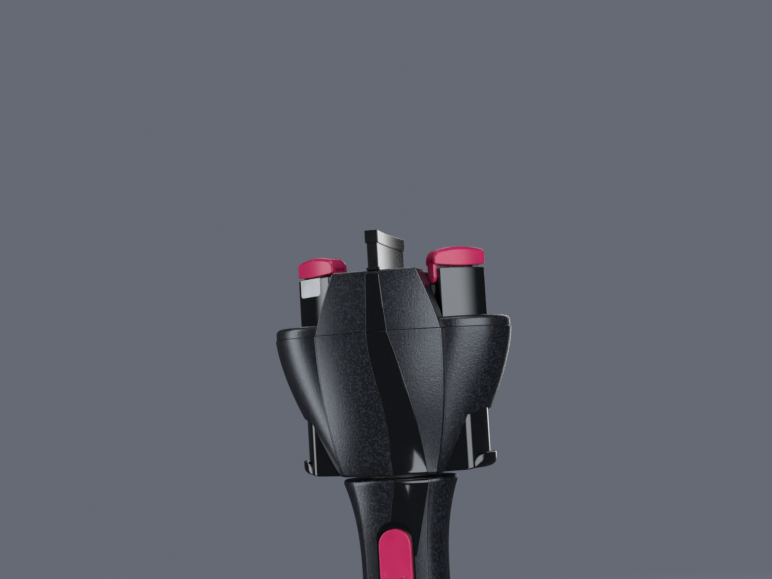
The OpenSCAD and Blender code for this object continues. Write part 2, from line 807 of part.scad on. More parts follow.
deck_post_y = 16.5;
deck_post_r = 3;
module head_shell() {
    color(black) difference() {
        bowl_outer();
        difference() {
            bowl_inner();
            for (d = [-1, 1]) {
                translate([d * rotor_x, 0, 0]) rod(channel_r + channel_wall, head_z - 1, deck_bottom);
                translate([0, d * deck_post_y, 0]) rod(deck_post_r, head_z, deck_bottom);
            }
        }
        for (d = [-1, 1]) {
            translate([d * rotor_x, 0, 0]) rod(channel_r, head_z - 1, deck_bottom + 1);
            translate([0, d * deck_post_y, 0]) rod(1.1, deck_bottom - 8, deck_bottom + 1);
        }
        rod(bush_r + run_gap, head_z - 1, head_z + head_floor + 1);
        bowl_stripe_slab(stripe_t, stripe_gap, head_z - 0.5, seam_z + 0.5, 2);
    }
}

module bowl_stripe_slab(t, g, z0, z1, over) {
    levels = [for (s = bowl_steps) s == 0 ? z0 : s == 1 ? z1 : head_z + s * bowl_h];
    outer = [for (z = levels) stripe_row(z, bowl_stripe(z), depth_row(bowl_p(z), bowl_stripe(z), -over, g), g)];
    inner = [for (z = levels) stripe_row(z, bowl_stripe(z), depth_row(bowl_p(z), bowl_stripe(z), t, g), g)];
    slab(outer, inner);
}

module head_stripe() {
    color(gloss) bowl_stripe_slab(stripe_t - seat_gap, 0, head_z + 0.6, seam_z - 0.05, 0);
}

// Rim round the pods: a stadium with a rounded upper edge
module rim_profile(r) {
    polygon(concat([[0, 0], [r, 0]],
        [for (a = [0:15:90]) [r - rim_r + rim_r * cos(a), rim_h - rim_r + rim_r * sin(a)]],
        [[0, rim_h]]));
}
module rim_solid(r) {
    translate([0, 0, seam_z]) {
        for (d = [-1, 1]) translate([d * rotor_x, 0, 0]) rotate_extrude($fn = fine) rim_profile(r);
        translate([-rotor_x, 0, 0]) rotate([90, 0, 90]) linear_extrude(2 * rotor_x) {
            rim_profile(r);
            mirror([1, 0]) rim_profile(r);
        }
    }
}

module tower_solid(t, z0, z1, soft) {
    top = z1 - (soft ? tower_round : 0);
    flat = [for (s = [0:0.2:1]) [mix(z0, top, s), t]];
    levels = soft ? concat(flat, [[z1 - tower_round * 0.32, t + tower_round * 0.32], [z1, t + tower_round]]) : flat;
    loft([for (l = levels) tower_outline(l[0], l[1])], [for (l = levels) l[0]]);
}

cover_roof = 1.8;
collar = 1.5;
module cover_cavity() {
    r = pod_r - seam_step - head_wall - 0.5;
    difference() {
        union() {
            translate([-rotor_x, -r, seam_z - 1]) cube([2 * rotor_x, 2 * r, rim_h - cover_roof + 1]);
            for (d = [-1, 1]) translate([d * rotor_x, 0, 0]) rod(r, seam_z - 1, rim_top - cover_roof);
            tower_solid(head_wall, seam_z - 1, tower_top - cover_roof, false);
        }
        for (d = [-1, 1]) translate([d * rotor_x, 0, 0]) {
            rod(bore_r + collar, seam_z - 2, rim_top);
            rod(well_r + head_wall, rim_top - cover_roof, tower_top + 1);
        }
    }
}

fin_pegs = [-12, 8];
peg_r = 1.5;
module head_cover() {
    lip_h = 2.5;
    color(black) {
        difference() {
            union() {
                rim_solid(pod_r - seam_step);
                tower_solid(0, seam_z, tower_top, true);
            }
            cover_cavity();
            for (d = [-1, 1]) translate([d * rotor_x, 0, 0]) {
                rod(bore_r, seam_z - 1, rim_top + 1);
                rod(well_r, rim_top, tower_top + 1);
            }
            for (y = fin_pegs) translate([0, y, 0]) rod(peg_r + seat_gap, tower_top - 5, tower_top + 1);
            tower_stripe_slab(stripe_t, stripe_gap, seam_z - 0.5, tower_top - tower_round - 0.1, 2);
        }
        // lip that drops inside the lower shell
        translate([0, 0, seam_z - lip_h]) linear_extrude(lip_h + 0.5) difference() {
            polygon(outline(inset(bowl_p(seam_z - lip_h), head_wall + 0.15, head_k)));
            polygon(outline(inset(bowl_p(seam_z - lip_h), head_wall + 1.35, head_k)));
        }
    }
}

module tower_stripe_slab(t, g, z0, z1, over) {
    levels = [for (s = [0:0.25:1]) mix(z0, z1, s)];
    outer = [for (z = levels) stripe_row(z, tower_stripe(z), tower_depths(z, -over, g), g)];
    inner = [for (z = levels) stripe_row(z, tower_stripe(z), tower_depths(z, t, g), g)];
    slab(outer, inner);
}

module cover_stripe() {
    color(gloss) tower_stripe_slab(stripe_t - seat_gap, 0, seam_z + 0.05, tower_top - tower_round - 0.2, 0);
}

// Fin between the rotors: straight ends, flanks that narrow to a waist
fin_n = 8;
function fin_x(y) =
    let (u = (y + (fin_front - fin_back) / 2) / ((fin_front + fin_back) / 2))
    (fin_waist + (fin_t - fin_waist) * u * u) / 2;
module fin_plan(z0, z1, grow) {
    ys = [for (i = [0:fin_n]) mix(-fin_front, fin_back, i / fin_n)];
    translate([0, 0, z0]) linear_extrude(z1 - z0) polygon(concat(
        [for (i = [0:fin_n]) [fin_x(ys[i]) + grow, ys[i] + (i == 0 ? -grow : i == fin_n ? grow : 0)]],
        [for (i = [fin_n:-1:0]) [-fin_x(ys[i]) - grow, ys[i] + (i == 0 ? -grow : i == fin_n ? grow : 0)]]));
}

module separator_fin() {
    foot_h = 1.2;
    color(gloss) {
        fin_plan(tower_top, tower_top + foot_h, fin_cap_lip);
        fin_plan(tower_top, fin_top - fin_cap_h, 0);
        fin_plan(fin_top - fin_cap_h, fin_top, fin_cap_lip);
        for (y = fin_pegs) translate([0, y, 0]) rod(peg_r - 0.25, tower_top - 1.5, tower_top + 0.5);
    }
}

// ---------- gears in the head ----------

pressure = 20;
function inv(r, rb) = let (t = sqrt(max(0, pow(r / rb, 2) - 1))) t * 180 / PI - atan(t);
// Outline of a spur gear with involute flanks, a tooth centred on angle 0
function gear_points(n) =
    let (r = gear_module * n / 2, rb = r * cos(pressure),
        root = r - 1.25 * gear_module, tip = r + 0.95 * gear_module,
        half = 90 / n - tooth_play / (2 * r) * 180 / PI,
        base = half + inv(r, rb),
        low = max(root + 0.02, rb),
        flank = [[root, base], [low, base - inv(low, rb)], [mix(low, tip, 0.5), base - inv(mix(low, tip, 0.5), rb)],
            [tip, base - inv(tip, rb)]])
    [for (k = [0:n - 1]) for (side = [-1, 1]) for (i = [0:3])
        let (p = flank[side < 0 ? i : 3 - i], a = 360 * k / n + side * p[1])
        [p[0] * cos(a), p[0] * sin(a)]];

module gear(n, turn) {
    rotate([0, 0, turn]) linear_extrude(gear_t) polygon(gear_points(n));
}

left_mesh = 180 / rotor_teeth * (1 - sun_teeth % 2);
right_mesh = 180 - 180 / rotor_teeth;

module sun_gear() {
    color(nylon) difference() {
        union() {
            translate([0, 0, gear_bottom]) gear(sun_teeth, 0);
            rod(5, gear_bottom - 0.4, gear_top + 1.5);
        }
        rod(shaft_r + 0.02, gear_bottom - 2, gear_top + 3);
        // lightening holes
        for (a = [0:60:300]) rotate([0, 0, a + 30]) translate([9.4 * gear_module, 0, 0])
            rod(2.4, gear_bottom - 1, gear_top + 1);
    }
}

module sun_shaft() {
    color(steel) {
        rod(clutch_r, drive_top + face_gap, drive_top + face_gap + clutch_t);
        rod(shaft_r, drive_top + face_gap + 1, gear_top + 1.5);
    }
}

module gear_deck() {
    end_r = channel_r + channel_wall + 0.6;
    color(nylon) difference() {
        union() {
            translate([-rotor_x, -end_r, deck_bottom]) cube([2 * rotor_x, 2 * end_r, deck_t]);
            for (d = [-1, 1]) translate([d * rotor_x, 0, 0]) rod(end_r, deck_bottom, deck_top);
            translate([-7, -deck_post_y - 3.4, deck_bottom]) cube([14, 2 * deck_post_y + 6.8, deck_t]);
            rod(5, deck_bottom - 20, deck_top);
        }
        for (d = [-1, 1]) {
            translate([d * rotor_x, 0, 0]) rod(hub_r + run_gap, deck_bottom - 1, deck_top + 1);
            translate([0, d * deck_post_y, 0]) {
                rod(1.3, deck_bottom - 1, deck_top + 1);
                rod(2.4, deck_top - 1.2, deck_top + 1);
            }
        }
        rod(shaft_r + run_gap, deck_bottom - 30, deck_top + 1);
    }
}

module deck_screws() {
    color(steel) for (d = [-1, 1]) translate([0, d * deck_post_y, 0]) {
        rod(1.05, deck_bottom - 7.5, deck_top - 1);
        difference() {
            rod(2.2, deck_top - 1.15, deck_top);
            translate([-1.4, -0.25, deck_top - 0.6]) cube([2.8, 0.5, 1]);
        }
    }
}

// ---------- rotors ----------

// Plan of the post: two shallow arcs with square ends
module lens_solid(l, d, end_d, x0, z0, z1) {
    dip = (d - end_d) / 2;
    r = (l * l / 4 + dip * dip) / (2 * dip);
    intersection() {
        translate([x0 - l / 2, -d, z0]) cube([l, 2 * d, z1 - z0]);
        translate([x0, d / 2 - r, z0]) cylinder(r = r, h = z1 - z0, $fn = 180);
        translate([x0, r - d / 2, z0]) cylinder(r = r, h = z1 - z0, $fn = 180);
    }
}

pad_x0 = -5.2;
pad_x1 = 7.9;
pad_top_x1 = 4.8;     // on the post's top the pad ends before the stem's slot
pad_core = post_end_d / 2 - 0.3;
pad_corner = 1.5;

// The space of the grip pad: a plate on the post's broad face that folds over its top
module pad_space() {
    z0 = post_top - pad_h;
    difference() {
        translate([0, 20, 0]) rotate([90, 0, 0]) linear_extrude(40) {
            translate([pad_x0, z0 + pad_corner]) square([pad_x1 - pad_x0, pad_h]);
            translate([pad_x0 + pad_corner, z0]) square([pad_x1 - pad_x0 - 2 * pad_corner, pad_h]);
            for (x = [pad_x0 + pad_corner, pad_x1 - pad_corner]) translate([x, z0 + pad_corner])
                circle(r = pad_corner, $fn = fine);
        }
        translate([pad_x0 - 1, -20, z0 - 1]) cube([pad_x1 - pad_x0 + 2, 20 + pad_core, pad_h + 1 - pad_t]);
        translate([pad_x0 - 1, -20, z0 - 1]) cube([pad_x1 - pad_x0 + 2, 20 - pad_core, 2 * pad_h]);
        translate([pad_top_x1, -20, z0 - 1]) cube([pad_x1, 20 + pad_core, 2 * pad_h]);
    }
}

module post_shape() {
    intersection() {
        lens_solid(post_l, post_d, post_end_d, 0, disc_top - 0.5, post_top);
        rod(post_l / 2 + 0.75, disc_top - 1, post_top + 1);
    }
}

module rotor_post() {
    hollow_top = seam_z + 2.4;
    color(gloss) difference() {
        union() {
            rod(disc_r, cup_top, disc_top);
            post_shape();
        }
        rod(cup_r - cup_wall - 0.3, cup_top - 1, hollow_top);
        translate([stem_x - loose_gap, -stem_w / 2 - loose_gap, cup_top])
            cube([stem_t + 2 * loose_gap, stem_w + 2 * loose_gap, big]);
        // channel that guides the prong
        translate([-post_l / 2 - 5, -prong_w / 2 - 0.4, disc_top + 4.5]) cube([5.8, prong_w + 0.8, big]);
        pad_space();
    }
}

module grip_pad() {
    color(pale) intersection() {
        post_shape();
        pad_space();
    }
}

module rotor_gear(turn) {
    color(nylon) difference() {
        union() {
            translate([0, 0, gear_bottom]) gear(rotor_teeth, turn);
            rod(cup_r - cup_wall + 0.3, gear_top - 1, gear_top + cup_lift + 0.2);
            rod(cup_r, gear_top + cup_lift, cup_top);
            rod(flange_r, cup_top - flange_t, cup_top);
            rod(hub_r, deck_bottom - 1.6, gear_bottom + 1);
            rod(hub_r + 1.5, deck_top + face_gap, gear_bottom + 1);
        }
        rod(cup_r - cup_wall, gear_top + cup_floor, cup_top + 1);
        rod(rod_r + 0.1, deck_bottom - 5, gear_top + 3);
    }
}

// Cap with a crown above, a belly below and bowed flanks, and a prong at its end
module clip() {
    half = clip_l / 2;
    crown_r = (half * half + clip_crown * clip_crown) / (2 * clip_crown);
    belly_r = (half * half + clip_belly * clip_belly) / (2 * clip_belly);
    end_x = clip_shift - half;
    color(pink) difference() {
        union() {
            intersection() {
                lens_solid(clip_l, clip_d, clip_end_d, clip_shift, clip_bottom - 1, clip_top + 1);
                translate([clip_shift, 0, clip_top - crown_r]) rotate([90, 0, 0])
                    rotate_extrude($fn = 180) polygon([[0, -clip_d], [crown_r - clip_chamfer, -clip_d],
                        [crown_r - clip_chamfer, -clip_d / 2], [crown_r, clip_chamfer - clip_d / 2],
                        [crown_r, clip_d / 2 - clip_chamfer], [crown_r - clip_chamfer, clip_d / 2],
                        [crown_r - clip_chamfer, clip_d], [0, clip_d]]);
                translate([clip_shift, 20, clip_bottom + belly_r]) rotate([90, 0, 0])
                    cylinder(r = belly_r, h = 40, $fn = 180);
                rod(clip_swing, clip_bottom - 2, clip_top + 2);
            }
            translate([end_x, -prong_w / 2, clip_bottom - prong_h + prong_w / 2])
                cube([prong_t, prong_w, prong_h + 2]);
            translate([end_x, 0, clip_bottom - prong_h + prong_w / 2]) rotate([0, 90, 0])
                cylinder(r = prong_w / 2, h = prong_t, $fn = fine);
        }
        translate([stem_x - seat_gap, -stem_w / 2 - seat_gap, clip_bottom - 2])
            cube([stem_t + 2 * seat_gap, stem_w + 2 * seat_gap, 5]);
    }
}

module clip_stem() {
    color(steel) {
        rod(cup_r - cup_wall - 0.3, carriage_z, carriage_z + carriage_t);
        rod(rod_r, lever_top + face_gap, carriage_z + 1);
        translate([stem_x, -stem_w / 2, carriage_z + 1])
            cube([stem_t, stem_w, clip_bottom + 3 - seat_gap - carriage_z - 1]);
    }
}

module clip_spring() {
    color(steel) coil(4.2, 4.2, 0.7, 4.5, carriage_z + carriage_t + 0.1, seam_z + 2.3);
}

// ---------- finger levers ----------

module pusher() {
    color(gloss) {
        difference() {
            rod(lever_r, lever_bottom, lever_top);
            rod(lever_r - lever_wall, lever_bottom + lever_floor, lever_top + 1);
        }
        rod(3.2, lever_bottom + 1, lever_top);
        // curled lip on the outer side
        rotate([0, 0, -lip_half_angle]) rotate_extrude(angle = 2 * lip_half_angle, $fn = fine)
            translate([0, lever_bottom]) polygon([[lever_r - 1, 0], [lever_r + lip_reach * 0.45, 0.9],
                [lever_r + lip_reach * 0.85, 2.6], [lever_r + lip_reach, 4.6], [lever_r + lip_reach, lip_h],
                [lever_r + lip_reach - lip_t, lip_h], [lever_r + lip_reach - lip_t, 4.8],
                [lever_r + lip_reach * 0.45 - 0.3, 2.9], [lever_r - 1, 1.8]]);
    }
}

// ---------- parts in place ----------

handle_front();
handle_rear();
battery_door();
handle_stripe();
switch_plate();
switch_button();
switch_slider();
switch_body();
circuit_board();
battery_tray();
battery_cells();
cell_springs();
bridge_contact();
terminal_contacts();
motor();
gearbox();
drive_shaft();
neck_bush();
retaining_ring();
neck_washer();
handle_screws();
head_shell();
head_cover();
head_stripe();
cover_stripe();
separator_fin();
gear_deck();
deck_screws();
sun_shaft();
sun_gear();
on_left() rotate([0, 0, left_turn]) rotor_post();  // left_rotor_post
on_right() rotate([0, 0, right_turn]) rotor_post();  // right_rotor_post
on_left() rotor_gear(left_mesh);  // left_rotor_gear
on_right() rotor_gear(right_mesh);  // right_rotor_gear
on_left() rotate([0, 0, left_turn]) grip_pad();  // left_grip_pad
on_right() rotate([0, 0, right_turn]) grip_pad();  // right_grip_pad
on_left() rotate([0, 0, left_turn]) clip();  // left_clip
on_right() rotate([0, 0, right_turn]) clip();  // right_clip
on_left() rotate([0, 0, left_turn]) clip_stem();  // left_clip_stem
on_right() rotate([0, 0, right_turn]) clip_stem();  // right_clip_stem
on_left() rotate([0, 0, left_turn]) clip_spring();  // left_clip_spring
on_right() rotate([0, 0, right_turn]) clip_spring();  // right_clip_spring
on_left() rotate([0, 0, 180]) pusher();  // left_pusher
on_right() pusher();  // right_pusher
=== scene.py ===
import math

import bpy
import numpy as np
from mathutils import Matrix, Vector


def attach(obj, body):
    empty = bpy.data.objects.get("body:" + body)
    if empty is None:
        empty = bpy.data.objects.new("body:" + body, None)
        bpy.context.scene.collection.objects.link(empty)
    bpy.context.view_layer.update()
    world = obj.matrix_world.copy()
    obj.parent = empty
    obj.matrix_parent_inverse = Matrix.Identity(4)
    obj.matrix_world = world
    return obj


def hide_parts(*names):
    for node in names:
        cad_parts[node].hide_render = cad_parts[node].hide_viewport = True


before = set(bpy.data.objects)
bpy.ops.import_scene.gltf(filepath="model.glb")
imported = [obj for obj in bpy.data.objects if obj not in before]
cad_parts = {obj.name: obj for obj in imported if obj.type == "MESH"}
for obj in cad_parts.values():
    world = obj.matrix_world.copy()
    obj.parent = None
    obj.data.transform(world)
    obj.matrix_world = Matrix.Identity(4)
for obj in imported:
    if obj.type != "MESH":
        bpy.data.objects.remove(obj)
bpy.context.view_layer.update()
print("the packed model is loaded")

mm = 0.001
scene = bpy.context.scene


# Camera, in millimetres and degrees; yaw and roll turn the view about its own axes
cameraSettings = {"azimuth": 14.5, "distance": 575, "height": 178, "pitch": 4.59, "yaw": -0.14, "roll": 3.4,
                  "lens": 67.03}


def placeCamera(s):
    # right, up and forward vectors of the view, first level, then pitched, then rolled
    a, p, r, w = (math.radians(s[k]) for k in ("azimuth", "pitch", "roll", "yaw"))
    eye = Vector((math.sin(a), -math.cos(a), 0)) * s["distance"] + Vector((0, 0, s["height"]))
    level = Vector((-math.sin(a), math.cos(a), 0))
    right = Vector((math.cos(a), math.sin(a), 0))
    ahead = level * math.cos(p) + Vector((0, 0, math.sin(p)))
    up = Vector((0, 0, math.cos(p))) - level * math.sin(p)
    ahead = (ahead + right * math.tan(w)).normalized()
    right = ahead.cross(up).normalized()
    up = right.cross(ahead)
    side = right * math.cos(r) - up * math.sin(r)
    top = right * math.sin(r) + up * math.cos(r)
    data = bpy.data.cameras.new("camera")
    data.sensor_width = 36
    data.lens = s["lens"]
    data.clip_start, data.clip_end = 0.02, 40
    camera = bpy.data.objects.new("camera", data)
    scene.collection.objects.link(camera)
    turn = Matrix((side, top, -ahead)).transposed().to_4x4()
    camera.matrix_world = Matrix.Translation(eye * mm) @ turn
    return camera


scene.camera = placeCamera(cameraSettings)
scene.view_settings.view_transform = "Standard"
print("camera placed")


def setInputs(tree, node, inputs):
    # each input gets its value, or a link from another node's output
    for name, value in inputs.items():
        if isinstance(value, bpy.types.NodeSocket):
            tree.links.new(value, node.inputs[name])
        else:
            node.inputs[name].default_value = value
    return node


def addNode(tree, kind, inputs, **settings):
    # a new node with its settings made first
    node = tree.nodes.new("ShaderNode" + kind)
    for name, value in settings.items():
        setattr(node, name, value)
    return setInputs(tree, node, inputs)


def newMaterial(name, colour, roughness, metallic=0.0, specular=0.5, tint=(1, 1, 1)):
    # a plain finish; the functions below add its clouds, grain and flecks
    mat = bpy.data.materials.new(name)
    mat.use_nodes = True
    mat.diffuse_color = (*colour, 1)
    tree = mat.node_tree
    shader = setInputs(tree, tree.nodes["Principled BSDF"], {
        "Base Color": (*colour, 1), "Roughness": roughness, "Metallic": metallic, "Specular IOR Level": specular,
        "Specular Tint": (*tint, 1)})
    return mat, tree, shader


def addNoise(tree, scale, detail, stretch=(1, 1, 1)):
    # noise on Object coordinates; scale is in features per metre
    where = addNode(tree, "TexCoord", {})
    place = addNode(tree, "Mapping", {"Vector": where.outputs["Object"], "Scale": stretch})
    noise = addNode(tree, "TexNoise", {"Vector": place.outputs["Vector"], "Scale": scale, "Detail": detail})
    return noise.outputs["Fac"]


def spread(tree, value, low, high, inLow=0.3, inHigh=0.7):
    # stretches a noise value from inLow..inHigh to low..high
    return addNode(tree, "MapRange", {"Value": value, "From Min": inLow, "From Max": inHigh, "To Min": low,
                                      "To Max": high}).outputs["Result"]


def bumped(tree, height, depth):
    # the normal of a surface that a noise value lifts by up to depth, in metres
    return addNode(tree, "Bump", {"Height": height, "Distance": depth, "Strength": 1}).outputs["Normal"]


def mixColour(tree, factor, dark, light):
    # the colour goes from dark to light as the factor goes from 0 to 1
    return addNode(tree, "Mix", {"Factor": factor, "A": (*dark, 1), "B": (*light, 1)},
                   data_type="RGBA").outputs["Result"]


# Matt black shell with a fine pearl grain; a cell shows as a fleck from the share called rare up
shellFinish = {"dark": (0.003, 0.0034, 0.0045), "fleck": (0.021, 0.024, 0.032), "flecks": 1700, "rare": 0.55,
               "roughness": (0.28, 0.30), "clouds": 60, "grain": 1550, "grainDepth": 0.00006, "specular": 1.0,
               "tint": (0.82, 0.89, 1.0)}


def makeShell(s):
    # every cell of a Voronoi pattern draws one value, and the highest ones turn pale
    mat, tree, shader = newMaterial("pearlBlackShell", s["dark"], s["roughness"][1], 0, s["specular"], s["tint"])
    where = addNode(tree, "TexCoord", {})
    cells = addNode(tree, "TexVoronoi", {"Vector": where.outputs["Object"], "Scale": s["flecks"]})
    draw = addNode(tree, "SeparateColor", {"Color": cells.outputs["Color"]}).outputs["Red"]
    setInputs(tree, shader, {
        "Base Color": mixColour(tree, spread(tree, draw, 0, 1, s["rare"], 1), s["dark"], s["fleck"]),
        "Roughness": spread(tree, addNoise(tree, s["clouds"], 2), *s["roughness"]),
        "Normal": bumped(tree, addNoise(tree, s["grain"], 2), s["grainDepth"])})
    return mat


# Gloss black: faint waves of a moulded face and a little haze
glossFinish = {"colour": (0.004, 0.004, 0.0045), "haze": (0.05, 0.10), "clouds": 170, "wave": 45,
               "waveDepth": 0.00006, "specular": 1.0, "tint": (0.88, 0.93, 1.0)}


def makeGloss(s):
    # clouds move the roughness, and a long wave bends the mirror image
    mat, tree, shader = newMaterial("glossBlack", s["colour"], s["haze"][0], 0, s["specular"], s["tint"])
    setInputs(tree, shader, {"Roughness": spread(tree, addNoise(tree, s["clouds"], 3), *s["haze"]),
                             "Normal": bumped(tree, addNoise(tree, s["wave"], 1), s["waveDepth"])})
    return mat


def makeGrained(name, dark, light, rough, grain, depth, metallic=0.0, stretch=(1, 1, 1), clouds=120):
    # colour and roughness follow one cloud, and the bump a finer grain
    mat, tree, shader = newMaterial(name, light, rough[1], metallic)
    cloud = addNoise(tree, clouds, 3, stretch)
    setInputs(tree, shader, {"Base Color": mixColour(tree, spread(tree, cloud, 0, 1), dark, light),
                             "Roughness": spread(tree, cloud, *rough),
                             "Normal": bumped(tree, addNoise(tree, grain, 2, stretch), depth)})
    return mat


# Pink plastic, even in colour with a soft gloss; light goes a little way into it
pinkFinish = {"dark": (0.44, 0.016, 0.085), "light": (0.50, 0.022, 0.105), "haze": (0.2, 0.28), "clouds": 90,
              "grain": 1500, "grainDepth": 0.000008, "glow": 0.06, "glowDepth": (0.001, 0.0003, 0.0003)}


def makePink(s):
    # a grained finish with a little light under its surface
    mat = makeGrained("pinkPlastic", s["dark"], s["light"], s["haze"], s["grain"], s["grainDepth"],
                      clouds=s["clouds"])
    setInputs(mat.node_tree, mat.node_tree.nodes["Principled BSDF"], {
        "Subsurface Weight": s["glow"], "Subsurface Radius": s["glowDepth"], "Subsurface Scale": 1})
    return mat


shellMat = makeShell(shellFinish)
glossMat = makeGloss(glossFinish)
satinMat = makeGrained("satinBlack", (0.006, 0.006, 0.007), (0.010, 0.010, 0.011), (0.16, 0.2), 900, 0.000006)
pinkMat = makePink(pinkFinish)
padMat = makeGrained("paleRubberPad", (0.44, 0.45, 0.46), (0.55, 0.56, 0.57), (0.42, 0.6), 1800, 0.00003)
nylonMat = makeGrained("naturalNylon", (0.60, 0.58, 0.52), (0.72, 0.70, 0.64), (0.38, 0.5), 1400, 0.00002)
trayMat = makeGrained("innerBlackPlastic", (0.02, 0.02, 0.021), (0.035, 0.035, 0.036), (0.45, 0.6), 1500, 0.00003)
boardMat = makeGrained("greenBoard", (0.008, 0.09, 0.035), (0.012, 0.13, 0.05), (0.25, 0.35), 700, 0.00002)
cellMat = makeGrained("cellSleeve", (0.24, 0.25, 0.27), (0.34, 0.35, 0.37), (0.28, 0.36), 500, 0.00001, 0.6)
springMat = makeGrained("springSteel", (0.50, 0.50, 0.52), (0.62, 0.62, 0.64), (0.2, 0.3), 900, 0.00001, 1.0)
steelMat = makeGrained("groundSteel", (0.40, 0.41, 0.43), (0.52, 0.53, 0.55), (0.24, 0.36), 700, 0.00001, 1.0,
                       (1, 1, 0.1))
brassMat = makeGrained("brightBrass", (0.66, 0.47, 0.17), (0.78, 0.58, 0.24), (0.22, 0.32), 900, 0.00001, 1.0)
print("materials made")


def mix(a, b, t):
    # the point a share t of the way from a to b
    return a + (b - a) * t


def smooth(t):
    # eases from 0 to 1: three t squared less two t cubed
    t = np.clip(t, 0, 1)
    return t * t * (3 - 2 * t)


def gridFaces(rows, cols):
    # quads of a tube's grid, whose rows run anticlockwise and climb
    r = np.arange(rows - 1)[:, None] * cols
    c = np.arange(cols)[None, :]
    n = (c + 1) % cols
    return np.stack([r + c, r + n, r + n + cols, r + c + cols], -1).reshape(-1, 4)


def makeObject(name, points, faceSets):
    # points in millimetres, and arrays of faces with the same number of corners in each
    mesh = bpy.data.meshes.new(name)
    loops = np.concatenate([f.ravel() for f in faceSets]).astype(np.int32)
    counts = np.concatenate([np.full(len(f), f.shape[1]) for f in faceSets])
    starts = np.concatenate([[0], np.cumsum(counts)[:-1]]).astype(np.int32)
    mesh.vertices.add(len(points))
    mesh.vertices.foreach_set("co", (np.asarray(points, float) * mm).ravel())
    mesh.loops.add(len(loops))
    mesh.loops.foreach_set("vertex_index", loops)
    mesh.polygons.add(len(counts))
    mesh.polygons.foreach_set("loop_start", starts)
    mesh.update(calc_edges=True)
    mesh.validate()
    obj = bpy.data.objects.new(name, mesh)
    scene.collection.objects.link(obj)
    return obj


def closedSkin(name, rings, foot, head):
    # a skin through rings (rows, cols, 3), each end closed by a fan from its own point
    rows, cols = rings.shape[:2]
    i = np.arange(cols)
    j = (i + 1) % cols
    low = np.stack([np.full(cols, rows * cols), j, i], -1)
    high = np.stack([np.full(cols, rows * cols + 1), (rows - 1) * cols + i, (rows - 1) * cols + j], -1)
    points = np.concatenate([rings.reshape(-1, 3), [foot], [head]])
    return makeObject(name, points, [gridFaces(rows, cols), low, high])


def loftObject(name, rings):
    # a closed skin whose fans start at the mean points of its first and last ring
    return closedSkin(name, rings, rings[0].mean(0), rings[-1].mean(0))


def levelRings(x, y, heights):
    # rows of x and y, each at its own height
    return np.stack([x, y, np.repeat(np.asarray(heights, float)[:, None], x.shape[1], 1)], -1)


def alongX(xs, outlines):
    # outlines (rows, cols, 2) in Y and Z, one at each x
    return np.stack([np.repeat(xs[:, None], outlines.shape[1], 1), outlines[..., 0], outlines[..., 1]], -1)


def turned(profile, centre, steps):
    # the profile (radius, height), listed from the axis below to the axis above, turned about a vertical axis
    angle = np.linspace(0, 2 * np.pi, steps, endpoint=False)
    p = np.array(profile, float)
    r = p[1:-1, :1]
    rings = levelRings(centre[0] + r * np.cos(angle), centre[1] + r * np.sin(angle), p[1:-1, 1])
    return closedSkin("tool", rings, [*centre, p[0, 1]], [*centre, p[-1, 1]])


def rod(x, y, radius, low, high, steps=128):
    # an upright cylinder
    return turned([(0, low), (radius, low), (radius, high), (0, high)], (x, y), steps)


def block(x0, x1, y0, y1, z0, z1):
    # a box, as two square rings
    x, y = np.array([[x0, x1, x1, x0]] * 2), np.array([[y0, y0, y1, y1]] * 2)
    return loftObject("tool", levelRings(x, y, [z0, z1]))


def softCorners(keys, radii, steps=4):
    # each corner of a closed outline (rows, keys, 2) becomes a short curve that leaves and joins its edges smoothly
    before = np.roll(keys, 1, 1) - keys
    after = np.roll(keys, -1, 1) - keys
    lb = np.linalg.norm(before, axis=2, keepdims=True)
    la = np.linalg.norm(after, axis=2, keepdims=True)
    r = np.broadcast_to(np.asarray(radii, float)[None, :, None], lb.shape)
    start = keys + before / lb * np.minimum(r, 0.48 * lb)
    stop = keys + after / la * np.minimum(r, 0.48 * la)
    t = np.linspace(0, 1, steps + 1)[None, None, :, None]
    curve = (1 - t) ** 2 * start[:, :, None] + 2 * t * (1 - t) * keys[:, :, None] + t ** 2 * stop[:, :, None]
    return curve.reshape(len(keys), -1, 2)


def arc(radius, steps=6):
    # a quarter circle of a rounded edge: how far each point lies from one face, and from the other
    a = np.linspace(0, np.pi / 2, steps + 1)
    return radius * (1 - np.cos(a)), radius * (1 - np.sin(a))


def roundedSpan(low, high, lowRound, highRound, count, steps=6):
    # stations from low to high that crowd at both rounded ends, with the inset of each
    (zl, il), (zh, ih) = arc(lowRound, steps), arc(highRound, steps)
    middle = np.linspace(low + lowRound, high - highRound, count)[1:-1]
    z = np.concatenate([low + zl, middle, high - zh[::-1]])
    return z, np.concatenate([il, np.zeros(len(middle)), ih[::-1]])


def bakeModifiers(obj):
    # the modified mesh takes the place of the plain one
    graph = bpy.context.evaluated_depsgraph_get()
    mesh = bpy.data.meshes.new_from_object(obj.evaluated_get(graph))
    obj.modifiers.clear()
    old = obj.data
    obj.data = mesh
    bpy.data.meshes.remove(old)


def carve(target, tools, operation="DIFFERENCE"):
    # the tools are cut out of the target, joined to it, or keep what they share with it
    for tool in tools:
        cut = target.modifiers.new("cut", "BOOLEAN")
        cut.operation = operation
        cut.solver = "MANIFOLD"
        cut.object = tool
    bpy.context.view_layer.update()
    bakeModifiers(target)
    for tool in tools:
        bpy.data.objects.remove(tool)
    return target


def joined(name, parts):
    # several closed skins kept as one object
    first = parts[0]
    with bpy.context.temp_override(active_object=first, selected_editable_objects=parts):
        bpy.ops.object.join()
    first.name = name
    return first


def moveMesh(obj, turn, shift):
    # turned about Z by degrees, then shifted by millimetres, in the mesh itself
    obj.data.transform(Matrix.Translation(Vector(shift) * mm) @ Matrix.Rotation(math.radians(turn), 4, "Z"))
    return obj


